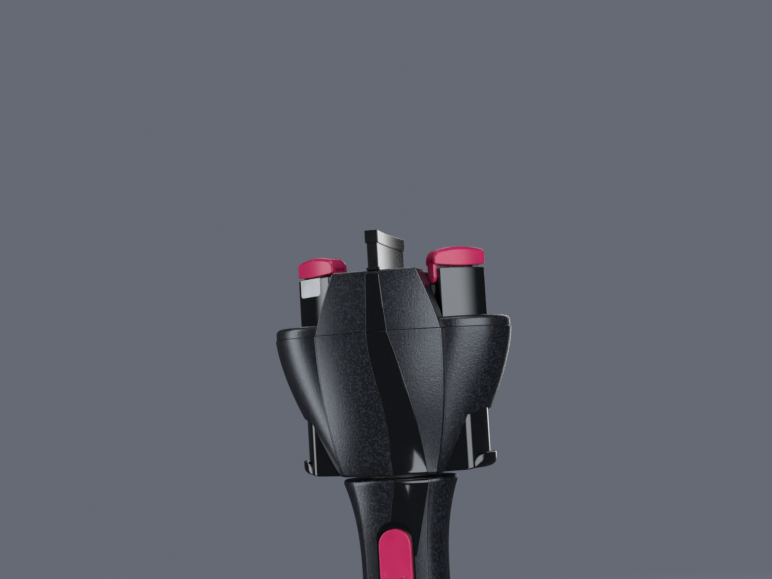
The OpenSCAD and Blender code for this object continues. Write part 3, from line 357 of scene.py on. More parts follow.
def finishPiece(obj, name, mat, body, nodes, sharp=32):
    # smooth faces with edges kept sharp where they turn by more than sharp degrees
    obj.name = name
    obj.data.name = name
    obj.data.materials.clear()
    obj.data.materials.append(mat)
    obj.data.shade_smooth()
    obj.data.set_sharp_from_angle(angle=math.radians(sharp))
    even = obj.modifiers.new("shading", "WEIGHTED_NORMAL")
    even.keep_sharp = True
    even.weight = 60
    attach(obj, body)
    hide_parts(*nodes)
    print("made", name, len(obj.data.polygons))


# Heights above the base that several pieces share
levels = {"flare": 109, "button": 115.2, "stripeFoot": 119.2, "handleTop": 149.6, "neck": 150.8,
          "deckBottom": 187.2, "cupTop": 205.8, "seam": 206.2, "discTop": 210.3, "rimTop": 210.6,
          "towerTop": 230.1, "postTop": 230.3, "clipBottom": 231.1, "clipTop": 238.8, "finTop": 245.8}
bowlHeight = levels["seam"] - levels["neck"]
towerHeight = levels["towerTop"] - levels["seam"]
rotorX = 28.0


def handleSection(z):
    # half width a, side depth b, flat c, crease w, lobe depth f, step, and how much of an inset the crease takes: a
    # straight grip, then a trumpet flare that grows with the power 2.6 of the height
    t = np.clip((z - levels["flare"]) / (levels["handleTop"] - levels["flare"]), 0, None) ** 2.6
    f = mix(14.5, 18.5, t)
    return {"a": mix(17.05, 23.5, t), "b": f - 0.4 - 2 * t, "c": np.full_like(z, 8.2), "w": mix(12.2, 16, t), "f": f,
            "step": np.full_like(z, 0.5), "crease": 0.4}


def bowlSection(z):
    # the same values on the head: it opens quickly at the neck and stands nearly straight at the seam
    t = np.clip((z - levels["neck"]) / bowlHeight, 0, 1)
    swell = t ** 0.76 + 0.55 * t * t * (1 - t)
    bulge = 1 - (1 - t) ** 2.2
    return {"a": mix(23.5, 48.1, swell), "b": mix(17.5, 20.1, t), "c": mix(14, rotorX, t ** 1.35),
            "w": mix(18.6, 25.4, bulge), "f": mix(19, 27, bulge), "step": mix(0.8, 3.4, t), "crease": 0.8}


def towerSection(z):
    # the lobes carried on above the seam, leaning in to a flat top
    t = np.clip((z - levels["seam"]) / towerHeight, 0, None)
    return {"w": mix(25.0, 16.8, t ** 1.2), "f": mix(26.6, 24.5, t ** 1.3), "e": mix(23.1, 23.6, t), "crease": 1}


def shrink(p, t):
    # the section moved in by t all round, its crease by its own share of that
    moved = {k: p[k] - t for k in "abef" if k in p}
    return {**p, **moved, "w": p["w"] - t * p["crease"]}


def flankDepth(x, p):
    # flat as far as c, then a quarter ellipse that closes at x = a
    a, b, c = (p[k][:, None] for k in "abc")
    return b * np.sqrt(np.clip(1 - np.clip((x - c) / (a - c), 0, 1) ** 2, 0, None))


def lobeDepth(x, p):
    # a parabola from the lobe's middle depth f to its edge depth: e, or the flank's depth there plus the step
    w, f = p["w"][:, None], p["f"][:, None]
    e = p["e"][:, None] if "e" in p else flankDepth(w, p) + p["step"][:, None]
    return e + (f - e) * (1 - (x / w) ** 2)


def frontColumns(p, rounding, stripe, stripeDepth, count=44):
    # x and depth of a lobe from left to right, with the inlay's groove sunk between its two edges
    end = p["w"][:, None] - rounding
    if stripe is None:
        x = mix(-end, end, np.linspace(0, 1, 2 * count)[None])
        return x, lobeDepth(x, p)
    u = np.linspace(0, 1, count)[None]
    left, right = stripe[0][:, None], stripe[1][:, None]
    xs = [mix(-end, left, u), mix(left, right, np.linspace(0, 1, 12)[None]), mix(right, end, u)]
    drop = [0, stripeDepth, 0]
    return np.concatenate(xs, 1), np.concatenate([lobeDepth(x, p) - d for x, d in zip(xs, drop)], 1)


def cornerColumns(p, rounding):
    # the quarter circle at a lobe's right edge, from its front round to its side
    inner = p["w"][:, None] - rounding
    a = np.linspace(0, np.pi / 2, 6)[None, 1:]
    return inner + rounding * np.sin(a), lobeDepth(inner, p) - rounding * (1 - np.cos(a))


def edgeColumns(p, rounding, groove, grooveWidth):
    # right edge of a lobe: its corner, the step's wall, and a groove along its foot
    w = p["w"][:, None]
    x, y = cornerColumns(p, rounding)
    foot = np.concatenate([w, w + grooveWidth * 0.7, w + grooveWidth], 1)
    depth = flankDepth(foot, p) - np.array([[groove, groove, 0]])
    return np.concatenate([x, foot], 1), np.concatenate([y, depth], 1)


def flankColumns(p, grooveWidth, parting, count=30):
    # from the foot of the lobe round to x = a: x follows a sine, so the columns stay even where the flank turns
    w, a = p["w"][:, None], p["a"][:, None]
    start = w + grooveWidth + 0.15
    u = np.linspace(0, 1, count)[None, :-1]
    x = start + (a - start) * np.sin(u * np.pi / 2)
    return np.concatenate([x, a - parting], 1), np.concatenate([flankDepth(x, p), np.zeros_like(a)], 1)


def shellRings(section, heights, insets, stripe=None, stripeDepth=0.0, rounding=0.45, groove=0.5,
               grooveWidth=0.6, parting=0.0):
    # rings of a shell, anticlockwise from above: front lobe, right flank, rear lobe, left flank; a groove runs along
    # each lobe's foot, and a parting line down each side
    p = shrink(section(heights), insets)
    fx, fy = frontColumns(p, rounding, stripe, stripeDepth)
    bx, by = frontColumns(p, rounding, None, 0)
    ex, ey = edgeColumns(p, rounding, groove, grooveWidth)
    sx, sy = flankColumns(p, grooveWidth, parting)
    x = np.concatenate([fx, ex, sx, sx[:, -2::-1], ex[:, ::-1], -bx, -ex, -sx, -sx[:, -2::-1], -ex[:, ::-1]], 1)
    y = np.concatenate([-fy, -ey, -sy, sy[:, -2::-1], ey[:, ::-1], by, ey, sy, -sy[:, -2::-1], -ey[:, ::-1]], 1)
    return levelRings(x, y, heights)


def towerRings(heights, insets, stripe=None, stripeDepth=0.0, rounding=0.6):
    # rings of the tower: two lobes joined by straight sides
    p = shrink(towerSection(heights), insets)
    fx, fy = frontColumns(p, rounding, stripe, stripeDepth)
    bx, by = frontColumns(p, rounding, None, 0)
    ex, ey = cornerColumns(p, rounding)
    reach = p["e"][:, None] - 1.5
    side = mix(-reach, reach, np.linspace(0, 1, 24)[None])
    sx = np.repeat(p["w"][:, None], side.shape[1], 1)
    x = np.concatenate([fx, ex, sx, ex[:, ::-1], -bx, -ex, -sx, -ex[:, ::-1]], 1)
    y = np.concatenate([-fy, -ey, side, ey[:, ::-1], by, ey, -side, -ey[:, ::-1]], 1)
    return levelRings(x, y, heights)


# Gloss inlay: its groove's depth, the gap on either side, its own thickness and its eased edges; then how far each
# strip stops short of the neck, the seam, the tower's top and the handle's, and how round its ends are
inlaySettings = {"depth": 0.9, "gap": 0.1, "thick": 0.85, "chamfer": 0.16, "columns": 14, "neckGap": 0.6,
                 "seamGap": 0.05, "towerGap": 1.1, "handleGap": 0.35, "endRound": 0.3, "seamRound": 0.15,
                 "footRound": 0.1, "flareRound": 1.9}


def bowlStripe(z):
    # left and right edge of the inlay: a lazy S that widens towards the neck
    q = 1 - np.clip((z - levels["neck"]) / bowlHeight, 0, 1)
    return mix(-3.6, 2.2, smooth(q / 0.75)), mix(4.8, 15.1, 1 - (1 - q) ** 1.75)


def towerStripe(z):
    # both edges run straight, and draw together towards the top
    t = np.clip((z - levels["seam"]) / towerHeight, 0, None)
    return mix(-3.6, -3.1, t), mix(4.8, 2.2, t)


def handleStripe(z):
    # both edges lean to the left on their way down to the switch
    q = (levels["handleTop"] - z) / (levels["handleTop"] - levels["stripeFoot"])
    return mix(2.2, -4.6, q), mix(15.1, 8, q)


def widened(pair):
    # the groove's edges: the inlay's, each moved out by the gap
    return pair[0] - inlaySettings["gap"], pair[1] + inlaySettings["gap"]


def inlayRings(s, section, heights, pair, insets):
    # rings of the inlay round its own thickness: a flush face with eased edges over a flat back
    p = shrink(section(heights), insets)
    left, right = pair[0][:, None], pair[1][:, None]
    c, n = s["chamfer"], s["columns"]
    face = mix(left + c, right - c, np.linspace(0, 1, n)[None])
    back = mix(right, left, np.linspace(0, 1, n)[None])
    x = np.concatenate([left, left + c * 0.3, face, right - c * 0.3, right, back], 1)
    drop = np.concatenate([[c, c * 0.3], np.zeros(n), [c * 0.3, c], np.full(n, s["thick"])])
    return levelRings(x, drop - lobeDepth(x, p), heights)


# Lower shell of the head, with the screw posts under the bearing deck and the bore for the neck
bowlSettings = {"rows": 90, "neckRound": 0.8, "seamRound": 0.25, "partLine": 0.04, "wall": 2.0, "floor": 2.4,
                "neckBore": 9.08, "postY": 16.5, "postRadius": 3}
# A finger lever in plan, from its rotor's axis: its reach inwards and outwards, its half depth, and its round
# corner, which turns so many degrees before the side's own arc takes over; then its walls, boss and hooked lip
leverSettings = {"inner": 9.2, "outer": 8.6, "half": 12.6, "corner": 3.2, "turn": 49, "wall": 1.6, "low": 151.1,
                 "height": 27.6, "floor": 3.2, "boss": 3.2, "rise": 1.5, "riseHeight": 8, "reach": 2.4,
                 "lipHeight": 5.4, "lipThick": 1.2, "lipShort": 1.6}
# Its pocket: the gap round it, and the underside of the pod beyond it, open from start to end and flat as far as
# bend, from where it climbs from roof to roofEnd in so long a run
pocketSettings = {"inner": 9.6, "gap": 0.4, "half": 13.0, "wall": 1.7, "start": -2, "end": 24, "bend": 4, "run": 7,
                  "roof": 172.6, "roofEnd": 175.6}


def leverRings(s, heights, insets):
    # rings of a lever, anticlockwise from its inner front corner: a flat front, a round corner, a long shallow arc
    # out to the side, and the same again at the back; an inset moves each point in along its own normal
    turn = math.radians(s["turn"])
    a1, a2 = np.linspace(0, turn, 9), np.linspace(turn, np.pi / 2, 17)[1:]
    bend = (s["half"] - s["corner"] * (1 - math.cos(turn))) / math.cos(turn)
    flat = s["outer"] - s["corner"] * math.sin(turn) - bend * (1 - math.sin(turn))
    x1, y1 = flat + s["corner"] * np.sin(a1), -s["half"] + s["corner"] * (1 - np.cos(a1))
    x2, y2 = s["outer"] - bend * (1 - np.sin(a2)), -bend * np.cos(a2)
    angle = np.concatenate([[0], a1, a2])
    x, y = np.concatenate([[-s["inner"]], x1, x2]), np.concatenate([[-s["half"]], y1, y2])
    nx, ny = np.sin(angle), -np.cos(angle)
    nx[0] = -1
    x, y = np.concatenate([x, x[-2::-1]]), np.concatenate([y, -y[-2::-1]])
    nx, ny = np.concatenate([nx, nx[-2::-1]]), np.concatenate([ny, -ny[-2::-1]])
    i = np.asarray(insets, float)[:, None]
    return levelRings(x - i * nx, y - i * ny, heights)


def pocketTools(d, k):
    # the shaft that the lever slides in, and the open part below the pod's slanting underside
    low, high, roof = levels["neck"] - 1, levels["deckBottom"] + 1, k["roof"]
    shaft = loftObject("tool", leverRings(leverSettings, [low, high], [-k["gap"], -k["gap"]]))
    side = block(k["start"], k["end"], -k["half"], k["half"], low, roof)
    tip = block(k["bend"], k["end"], -k["half"], k["half"], roof - 3, roof)
    hinge = Vector((k["bend"], 0, roof)) * mm
    climb = Matrix.Rotation(-math.atan2(k["roofEnd"] - roof, k["run"]), 4, "Y")
    tip.data.transform(Matrix.Translation(hinge) @ climb @ Matrix.Translation(-hinge))
    tools = [shaft, side, tip]
    for tool in tools:
        moveMesh(tool, 0 if d > 0 else 180, (d * rotorX, 0, 0))
    return tools


def makeBowl(s):
    # the outer skin less its inner skin, which leaves the pockets' linings and the posts, less pockets and bore
    neck, seam, deck, k = levels["neck"], levels["seam"], levels["deckBottom"], pocketSettings
    z, inset = roundedSpan(neck, seam - s["partLine"], s["neckRound"], s["seamRound"], s["rows"])
    rings = shellRings(bowlSection, z, inset, widened(bowlStripe(z)), inlaySettings["depth"])
    outer = loftObject("bowl", rings)
    zi = np.linspace(neck + s["floor"], seam + 1, 50)
    inner = loftObject("tool", shellRings(bowlSection, zi, np.full_like(zi, s["wall"]), groove=0.0))
    half, near, far = k["half"] + k["wall"], rotorX - k["inner"] - k["wall"], 52
    walls = [block(x0, x1, -half, half, neck - 1, deck) for x0, x1 in ((-far, -near), (near, far))]
    posts = [rod(0, d * s["postY"], s["postRadius"], neck, deck, 32) for d in (-1, 1)]
    carve(inner, walls + posts)
    bores = [tool for d in (-1, 1) for tool in pocketTools(d, k)]
    bush = rod(0, 0, s["neckBore"], neck - 1, neck + s["floor"] + 1)
    carve(outer, [inner] + bores + [bush])
    finishPiece(outer, "headBowl", shellMat, "head", ["head_shell"])


makeBowl(bowlSettings)


# Cover with the tower: a rim round both rotors, a well and a bore for each
coverSettings = {"rimRadius": 19.7, "rimRound": 2.0, "footRound": 0.2, "topRound": 0.9, "wellRadius": 14.0,
                 "boreRadius": 12.98, "boreWall": 1.5, "roof": 1.8, "wall": 2.0, "rimWall": 2.5, "partLine": 0.04}


def stadiumRings(radius, heights, insets, steps=48):
    # two half circles about the rotor axes joined by straight runs
    a = np.linspace(-np.pi / 2, np.pi / 2, steps)
    r = (radius - insets)[:, None]
    run = np.linspace(-rotorX, rotorX, 24)[None, 1:-1] + 0 * r
    x = np.concatenate([rotorX + r * np.cos(a), -run, -rotorX - r * np.cos(a), run], 1)
    y = np.concatenate([r * np.sin(a), r + 0 * run, -r * np.sin(a), -r + 0 * run], 1)
    return levelRings(x, y, heights)


def makeCover(s):
    # the rim joined to the tower, less their hollows, which leave a wall round each well and bore
    seam, rimTop, towerTop = levels["seam"], levels["rimTop"], levels["towerTop"]
    z, inset = roundedSpan(seam + s["partLine"], rimTop, s["footRound"], s["rimRound"], 6, 10)
    rim = loftObject("cover", stadiumRings(s["rimRadius"], z, inset))
    z, inset = roundedSpan(seam + s["partLine"], towerTop, s["footRound"], s["topRound"], 40, 8)
    tower = loftObject("tool", towerRings(z, inset, widened(towerStripe(z)), inlaySettings["depth"]))
    carve(rim, [tower], "UNION")
    hollow = loftObject("tool", stadiumRings(s["rimRadius"] - s["rimWall"], [seam - 1, rimTop - s["roof"]],
                                             np.zeros(2)))
    zi = np.linspace(seam - 1, towerTop - s["roof"], 8)
    carve(hollow, [loftObject("tool", towerRings(zi, np.full_like(zi, s["wall"])))], "UNION")
    keep, cuts = [], [hollow]
    for x in (-rotorX, rotorX):
        keep.append(rod(x, 0, s["boreRadius"] + s["boreWall"], seam - 2, rimTop))
        keep.append(rod(x, 0, s["wellRadius"] + s["wall"], rimTop - s["roof"], towerTop + 1))
        cuts.append(rod(x, 0, s["boreRadius"], seam - 1, rimTop + 1))
        cuts.append(rod(x, 0, s["wellRadius"], rimTop, towerTop + 1, 160))
    carve(hollow, keep)
    carve(rim, cuts)
    finishPiece(rim, "headCover", shellMat, "head", ["head_cover"])


makeCover(coverSettings)


def makeHeadInlay(s):
    # one strip below the seam and one above it
    end, edge = s["endRound"], s["seamRound"]
    z, inset = roundedSpan(levels["neck"] + s["neckGap"], levels["seam"] - s["seamGap"], end, edge, 70, 3)
    bowl = loftObject("inlay", inlayRings(s, bowlSection, z, bowlStripe(z), inset))
    finishPiece(bowl, "headInlay", glossMat, "head", ["head_stripe"])
    z, inset = roundedSpan(levels["seam"] + s["seamGap"], levels["towerTop"] - s["towerGap"], edge, end, 30, 3)
    tower = loftObject("inlay", inlayRings(s, towerSection, z, towerStripe(z), inset))
    finishPiece(tower, "towerInlay", glossMat, "head", ["cover_stripe"])


makeHeadInlay(inlaySettings)


# Handle: its rounded ends, walls and parting line, the switch pan, the battery bay and the screws' wells (x, height)
handleSettings = {"rows": 110, "baseRound": 1.0, "topRound": 2.2, "wall": 2.0, "floor": 2.2, "lid": 2.4,
                  "rounding": 0.35, "groove": 0.12, "grooveWidth": 0.35, "parting": 0.22, "neckBore": 9.05,
                  "panWidth": 14.6, "panLength": 36.0, "doorHalf": 11.5, "doorTop": 67.5, "doorCut": 10.9,
                  "wells": ((9.5, 80), (14.2, 140.5)), "wellRadius": 2.6}


def obroundRings(width, length, depths, insets, middle, steps=40):
    # a slot outline facing the front, carried back along Y
    a = np.linspace(0, np.pi, steps)
    r = (width / 2 - np.asarray(insets, float))[:, None]
    h = (length - width) / 2
    x = np.concatenate([r * np.cos(a), -r * np.cos(a)], 1)
    z = np.concatenate([h + r * np.sin(a), -h - r * np.sin(a)], 1) + middle
    return np.stack([x, np.repeat(np.asarray(depths, float)[:, None], x.shape[1], 1), z], -1)


def rodAlongY(x, z, y0, y1, radius, steps=40):
    # a cylinder from y0 to y1
    a = np.linspace(0, -2 * np.pi, steps, endpoint=False)
    ring = np.stack([x + radius * np.cos(a), np.zeros(steps), z + radius * np.sin(a)], -1)
    return loftObject("tool", np.stack([ring + (0, y0, 0), ring + (0, y1, 0)]))


def panTool(s, grow):
    # the space of the switch pan, carried in from the front
    rings = obroundRings(s["panWidth"] + grow, s["panLength"] + grow, [-30, -5], [0, 0], levels["button"])
    return loftObject("tool", rings[:, ::-1])


def stripeTool(s, heights):
    # the space of the handle's inlay: from above the surface to the groove's floor
    left, right = widened(handleStripe(heights))
    x = mix(left[:, None], right[:, None], np.linspace(0, 1, s["columns"])[None])
    y = lobeDepth(x, handleSection(heights))
    return loftObject("tool", levelRings(np.concatenate([x, x[:, ::-1]], 1),
                                         -np.concatenate([y + 3, y[:, ::-1] - s["depth"]], 1), heights))


def makeHandle(s):
    # the outer skin less its inner skin, the inlay's groove, the pan, the neck's bore, the door and the wells
    top = levels["handleTop"]
    z, inset = roundedSpan(0, top, s["baseRound"], s["topRound"], s["rows"], 8)
    pair = widened(handleStripe(np.maximum(z, levels["stripeFoot"])))
    rings = shellRings(handleSection, z, inset, pair, 0.0, s["rounding"], s["groove"], s["grooveWidth"], s["parting"])
    outer = loftObject("handle", rings)
    zi = np.concatenate([[s["floor"], 60], np.linspace(levels["flare"], top - s["lid"], 24)])
    inner = loftObject("tool", shellRings(handleSection, zi, np.full_like(zi, s["wall"]), groove=0.0))
    slot = stripeTool(inlaySettings, np.linspace(levels["stripeFoot"], top + 0.5, 40))
    bush = rod(0, 0, s["neckBore"], top - 10, top + 10)
    door = block(-s["doorHalf"], s["doorHalf"], s["doorCut"], 40, -1, s["doorTop"])
    wells = [rodAlongY(d * x, h, 8, 40, s["wellRadius"]) for x, h in s["wells"] for d in (-1, 1)]
    carve(outer, [inner, slot, panTool(s, 0.2), bush, door] + wells)
    finishPiece(outer, "handleShell", shellMat, "handle", ["handle_front", "handle_rear"])


def makeHandleInlay(s):
    # the strip from the neck down to the pan, which cuts its foot
    low, high = levels["stripeFoot"] + s["gap"], levels["handleTop"] - s["handleGap"]
    z, inset = roundedSpan(low, high, s["footRound"], s["flareRound"], 50, 7)
    inlay = loftObject("inlay", inlayRings(s, handleSection, z, handleStripe(z), inset))
    carve(inlay, [panTool(handleSettings, 0.3)])
    finishPiece(inlay, "handleInlay", glossMat, "handle", ["handle_stripe"])


makeHandle(handleSettings)
makeHandleInlay(inlaySettings)


def ridgeBar(reach, half, low, high, end, foot=0):
    # a grip ridge along X, half as thick as told either way, from depth low to high; both ends are quarter circles
    xs, inset = roundedSpan(-reach, reach, end, end, 6, 5)
    k = inset[:, None]
    keys = np.stack([np.concatenate([low + 0 * k, high - k, high - k, low + 0 * k], 1),
                     np.concatenate([-half + k, -half + k, half - k, half - k], 1)], -1)
    return loftObject("ridge", alongX(xs, softCorners(keys, [0.01, 0.3, 0.3, 0.01]) + (0, foot))[:, ::-1])


# Battery door: its plate and, between two insets of the same section, the rails along its sides; then its ridges
doorSettings = {"half": 11.4, "low": 0.6, "top": 67.2, "thick": 1.8, "railHalf": 12.6, "railOut": 0.65,
                "railIn": 1.35, "ridges": 5, "ridgeLow": 14.55, "ridgeStep": 2.6, "ridgeReach": 5, "ridgeHalf": 0.55,
                "ridgeFoot": 13.4, "ridgeTop": 15.0, "ridgeEnd": 0.45}


def makeDoor(s):
    # the handle's own surface, cut to the door's width
    z = np.linspace(s["low"], s["top"], 12)

    def slab(outside, inside, half):
        # the wall between two insets
        outer, inner = [loftObject("tool", shellRings(handleSection, heights, np.full_like(z, inset), groove=0.0,
                                                      rounding=0.3))
                        for heights, inset in ((z, outside), (z + np.linspace(-1, 1, 12), inside))]
        carve(outer, [block(-half, half, 2, 40, -1, 80)], "INTERSECT")
        return carve(outer, [inner])

    door = slab(0.0, s["thick"], s["half"])
    carve(door, [slab(s["railOut"], s["railIn"], s["railHalf"])], "UNION")
    ridges = [ridgeBar(s["ridgeReach"], s["ridgeHalf"], s["ridgeFoot"], s["ridgeTop"], s["ridgeEnd"],
                       s["ridgeLow"] + s["ridgeStep"] * i) for i in range(s["ridges"])]
    finishPiece(joined("door", [door] + ridges), "batteryDoor", shellMat, "door", ["battery_door"])


makeDoor(doorSettings)


# Slide button: depths are along Y; the grip ridges climb from ridgeLow below its middle, sunk in its face
buttonSettings = {"width": 12.8, "length": 30.0, "base": -13.0, "top": -15.9, "bevel": 0.55, "crown": 0.05,
                  "stem": 2, "stemHalf": 3, "ridges": 4, "ridgeLow": -10.5, "ridgeStep": 2.4, "ridgeReach": 3.6,
                  "ridgeHalf": 0.5, "ridgeHeight": 0.8, "ridgeEnd": 0.4, "ridgeSink": 0.4}


def makeButton(s):
    # slot outlines at ever greater depth: the foot, a quarter circle, and a face that rises a little to its middle
    inset, drop = arc(s["bevel"])
    depths = np.concatenate([[s["base"]], s["top"] + drop, [s["top"] - s["crown"]]])
    insets = np.concatenate([[0], inset, [s["bevel"] + 2]])
    middle, w, h = levels["button"], s["stem"], s["stemHalf"]
    parts = [loftObject("button", obroundRings(s["width"], s["length"], depths, insets, middle)),
             block(-w, w, s["base"] - 0.5, s["base"] + 1.8, middle - h, middle + h)]
    for i in range(s["ridges"]):
        ridge = ridgeBar(s["ridgeReach"], s["ridgeHalf"], 0, s["ridgeHeight"], s["ridgeEnd"])
        place = Vector((0, s["top"] + s["ridgeSink"], middle + s["ridgeLow"] + s["ridgeStep"] * i)) * mm
        ridge.data.transform(Matrix.Translation(place) @ Matrix.Diagonal((1, -1, 1, 1)))
        ridge.data.flip_normals()
        parts.append(ridge)
    finishPiece(joined("button", parts), "slideButton", pinkMat, "switch", ["switch_button"])


makeButton(buttonSettings)


# Fin between the rotors: its reach forwards and backwards, its thickness at the ends and at the waist
finSettings = {"front": 23.4, "back": 18.0, "end": 4.3, "waist": 2.6, "lip": 0.5, "capHeight": 5.0, "foot": 1.2,
               "edge": 0.3, "capEdge": 0.35, "overlap": 0.4}


def finBar(s, low, high, grow, edge):
    # a blade along Y whose half thickness is a parabola, thin at the waist; its ends are rounded
    ys, inset = roundedSpan(-s["front"] - grow, s["back"] + grow, edge, edge, 26, 5)
    k = inset[:, None]
    u = (ys + (s["front"] - s["back"]) / 2) / ((s["front"] + s["back"]) / 2)
    half = (mix(s["waist"], s["end"], u * u) / 2 + grow)[:, None]
    keys = np.stack([np.concatenate([-half + k, half - k, half - k, -half + k], 1),
                     np.concatenate([low + k, low + k, high - k, high - k], 1)], -1)
    ring = softCorners(keys, [edge] * 4)
    y = np.repeat(ys[:, None], ring.shape[1], 1)
    return loftObject("fin", np.stack([ring[..., 0], y, ring[..., 1]], -1)[:, ::-1])


def makeFin(s):
    # a foot, the blade, and a cap that stands proud of it all round
    base, top, cap = levels["towerTop"], levels["finTop"], levels["finTop"] - s["capHeight"]
    parts = [finBar(s, base + 0.01, base + s["foot"], s["lip"], s["edge"]),
             finBar(s, base + 0.3, cap + s["overlap"], 0, s["edge"]), finBar(s, cap, top, s["lip"], s["capEdge"])]
    finishPiece(joined("fin", parts), "dividerFin", satinMat, "head", ["separator_fin"])


makeFin(finSettings)


# Each rotor's axis and resting turn; the stem that runs up through it beside the axis, and the play round it
rotors = {"left": (-rotorX, 145), "right": (rotorX, 40)}
stemSettings = {"near": 5.85, "far": 8.75, "half": 2.35, "play": 0.2}
columnSettings = {"length": 20.4, "depth": 10.8, "endDepth": 8.8, "endRound": 0.7, "disc": 12.9, "hollow": 9.9,
                  "hollowHigh": 2.4, "guideDepth": 0.8, "guidePlay": 0.4, "guideLow": 4.5, "padLow": -5.2,
                  "padHigh": 7.9, "padFold": 4.8, "padHeight": 7.1, "padThick": 1.2, "padCorner": 1.5,
                  "padProud": 0.12}


def stemTool(grow, low, high):
    # the stem's space
    t = stemSettings
    return block(t["near"] - grow, t["far"] + grow, -t["half"] - grow, t["half"] + grow, low, high)


def lensBar(x0, x1, middleDepth, endDepth, end, stations, extra=0.0):
    # stations of a bar along X, the insets of its rounded ends, and its half depth: a parabola of u, which is the
    # square of the share of the way from its middle to an end
    xs, inset = roundedSpan(x0, x1, end, end, stations)
    u = ((xs - (x0 + x1) / 2) / ((x1 - x0) / 2))[:, None] ** 2
    return xs, inset[:, None], (middleDepth - (middleDepth - endDepth) * u) / 2 + extra, u


def padTool(s, grow):
    # the pad's space: a rounded plate on the column's broad face that folds over its top as far as the stem
    z0, z1 = levels["postTop"] - s["padHeight"] - grow, levels["postTop"] - s["padThick"] - grow
    x0, x1 = s["padLow"] - grow, s["padHigh"] + grow
    keys = np.array([[[x0, z0], [x1, z0], [x1, z0 + 12], [x0, z0 + 12]]])
    ring = softCorners(keys, [s["padCorner"], s["padCorner"], 0.01, 0.01], 8)[0]
    rings = np.stack([np.column_stack([ring[:, 0], np.full(len(ring), y), ring[:, 1]]) for y in (-20, 20)])
    panel = loftObject("tool", rings[:, ::-1])
    core, rear = s["endDepth"] / 2 - 0.3 - grow, 0.3 - s["endDepth"] / 2 - grow
    return carve(panel, [block(-9, 9, -21, core, z0 - 2, z1), block(-9, 9, -21, rear, z0 - 2, z0 + 14),
                         block(s["padFold"] + grow, 9, -21, core, z0 - 2, z0 + 14)])


def makeColumn(side, s):
    # a lens-shaped post on its disc, less the hollow, the stem's way, the prong's guide and the pad's seat
    x, turn = rotors[side]
    top, base, cup = levels["postTop"], levels["discTop"], levels["cupTop"]
    half, prong = s["length"] / 2, clipSettings["prongWidth"] / 2 + s["guidePlay"]

    def body(grow):
        # lens outlines from the disc up, with the top's edges eased
        xs, k, h, _ = lensBar(-half, half, s["depth"], s["endDepth"], s["endRound"], 28, grow)
        low, high = base - 2 + 0 * k, top + grow - 0.3 * k
        keys = np.stack([np.concatenate([-h + k, h - k, h - k, -h + k], 1),
                         np.concatenate([low, low, high, high], 1)], -1)
        return loftObject("column", alongX(xs, softCorners(keys, [0.01, 0.01, 0.3, 0.3])))

    column = body(0.0)
    r, e = s["disc"], 0.3
    disc = turned([(0, cup), (r, cup), (r, base - e), (r - e * 0.3, base - e * 0.3), (r - e, base), (0, base)],
                  (0, 0), 128)
    carve(column, [disc], "UNION")
    hollow = rod(0, 0, s["hollow"], cup - 1, levels["seam"] + s["hollowHigh"])
    guide = block(-half - 5, -half + s["guideDepth"], -prong, prong, base + s["guideLow"], top + 5)
    carve(column, [hollow, stemTool(stemSettings["play"], cup - 1, top + 5), guide, padTool(s, 0.05)])
    pad = carve(body(s["padProud"]), [padTool(s, 0.0)], "INTERSECT")
    for piece in (column, pad):
        moveMesh(piece, turn, (x, 0, 0))
    finishPiece(column, side + "Column", glossMat, side + "_rotor", [side + "_rotor_post"])
    finishPiece(pad, side + "Pad", padMat, side + "_rotor", [side + "_grip_pad"])


# Clip: its cap from end to end, the drop of its arch at either end, and the prong at its near end
clipSettings = {"x0": -11.8, "x1": 10.9, "depth": 10.4, "endDepth": 7.8, "endRound": 0.6, "crown": 1.9,
                "farCrown": 1.0, "belly": 0.7, "chamfer": 1.4, "prongHeight": 6.5, "prongThick": 1.7,
                "prongWidth": 5.2, "prongCorner": 2.6, "prongEdge": 0.35}


def makeClip(side, s):
    # a lens-shaped cap with a shallow arch that also turns down over the prong
    x, turn = rotors[side]
    low, top, c = levels["clipBottom"], levels["clipTop"], s["chamfer"]
    xs, k, h, u = lensBar(s["x0"], s["x1"], s["depth"], s["endDepth"], s["endRound"], 40)
    v = xs[:, None]
    near = np.clip((s["x0"] + s["prongCorner"] - v) / s["prongCorner"], 0, 1)
    fall = np.where(v < 0, s["crown"], s["farCrown"])
    high = top - fall * u - s["prongCorner"] * (1 - np.sqrt(1 - 0.96 * near ** 2)) - k * 0.8
    foot = low + s["belly"] * u + k * 0.8
    keys = np.stack([np.concatenate([-h + k, h - k, h - k, h - k - c, -h + k + c, -h + k], 1),
                     np.concatenate([foot, foot, high - c * 0.95, high, high, high - c * 0.95], 1)], -1)
    cap = loftObject("clip", alongX(xs, softCorners(keys, [0.5, 0.5, 0.35, 0.7, 0.7, 0.35], 5)))
    # prong: a tongue with a half-round tip, thin along X, whose outline shrinks over its rounded edges
    w, t, e, tip = s["prongWidth"] / 2, s["prongThick"], s["prongEdge"], low - s["prongHeight"]
    a = np.linspace(np.pi, 2 * np.pi, 24)
    outline = np.stack([np.concatenate([w * np.cos(a), [w, -w]]),
                        np.concatenate([tip + w + w * np.sin(a), [low + 3, low + 3]])], -1)
    mid = np.array([0, (tip + low + 3) / 2])
    size = np.array([w, (low + 3 - tip) / 2])
    depth = s["x0"] + np.array([0, e * 0.3, e, t - e, t - e * 0.3, t])
    inset = np.array([e, e * 0.3, 0, 0, e * 0.3, e])[:, None, None]
    prong = loftObject("prong", alongX(depth, mid + (outline - mid) * (1 - inset / size)))
    carve(cap, [stemTool(0, low - 2, low + 3)])
    clip = moveMesh(joined("clip", [cap, prong]), turn, (x, 0, 0))
    finishPiece(clip, side + "Clip", pinkMat, side + "_lift", [side + "_clip"])


for side in rotors:
    makeColumn(side, columnSettings)
    makeClip(side, clipSettings)


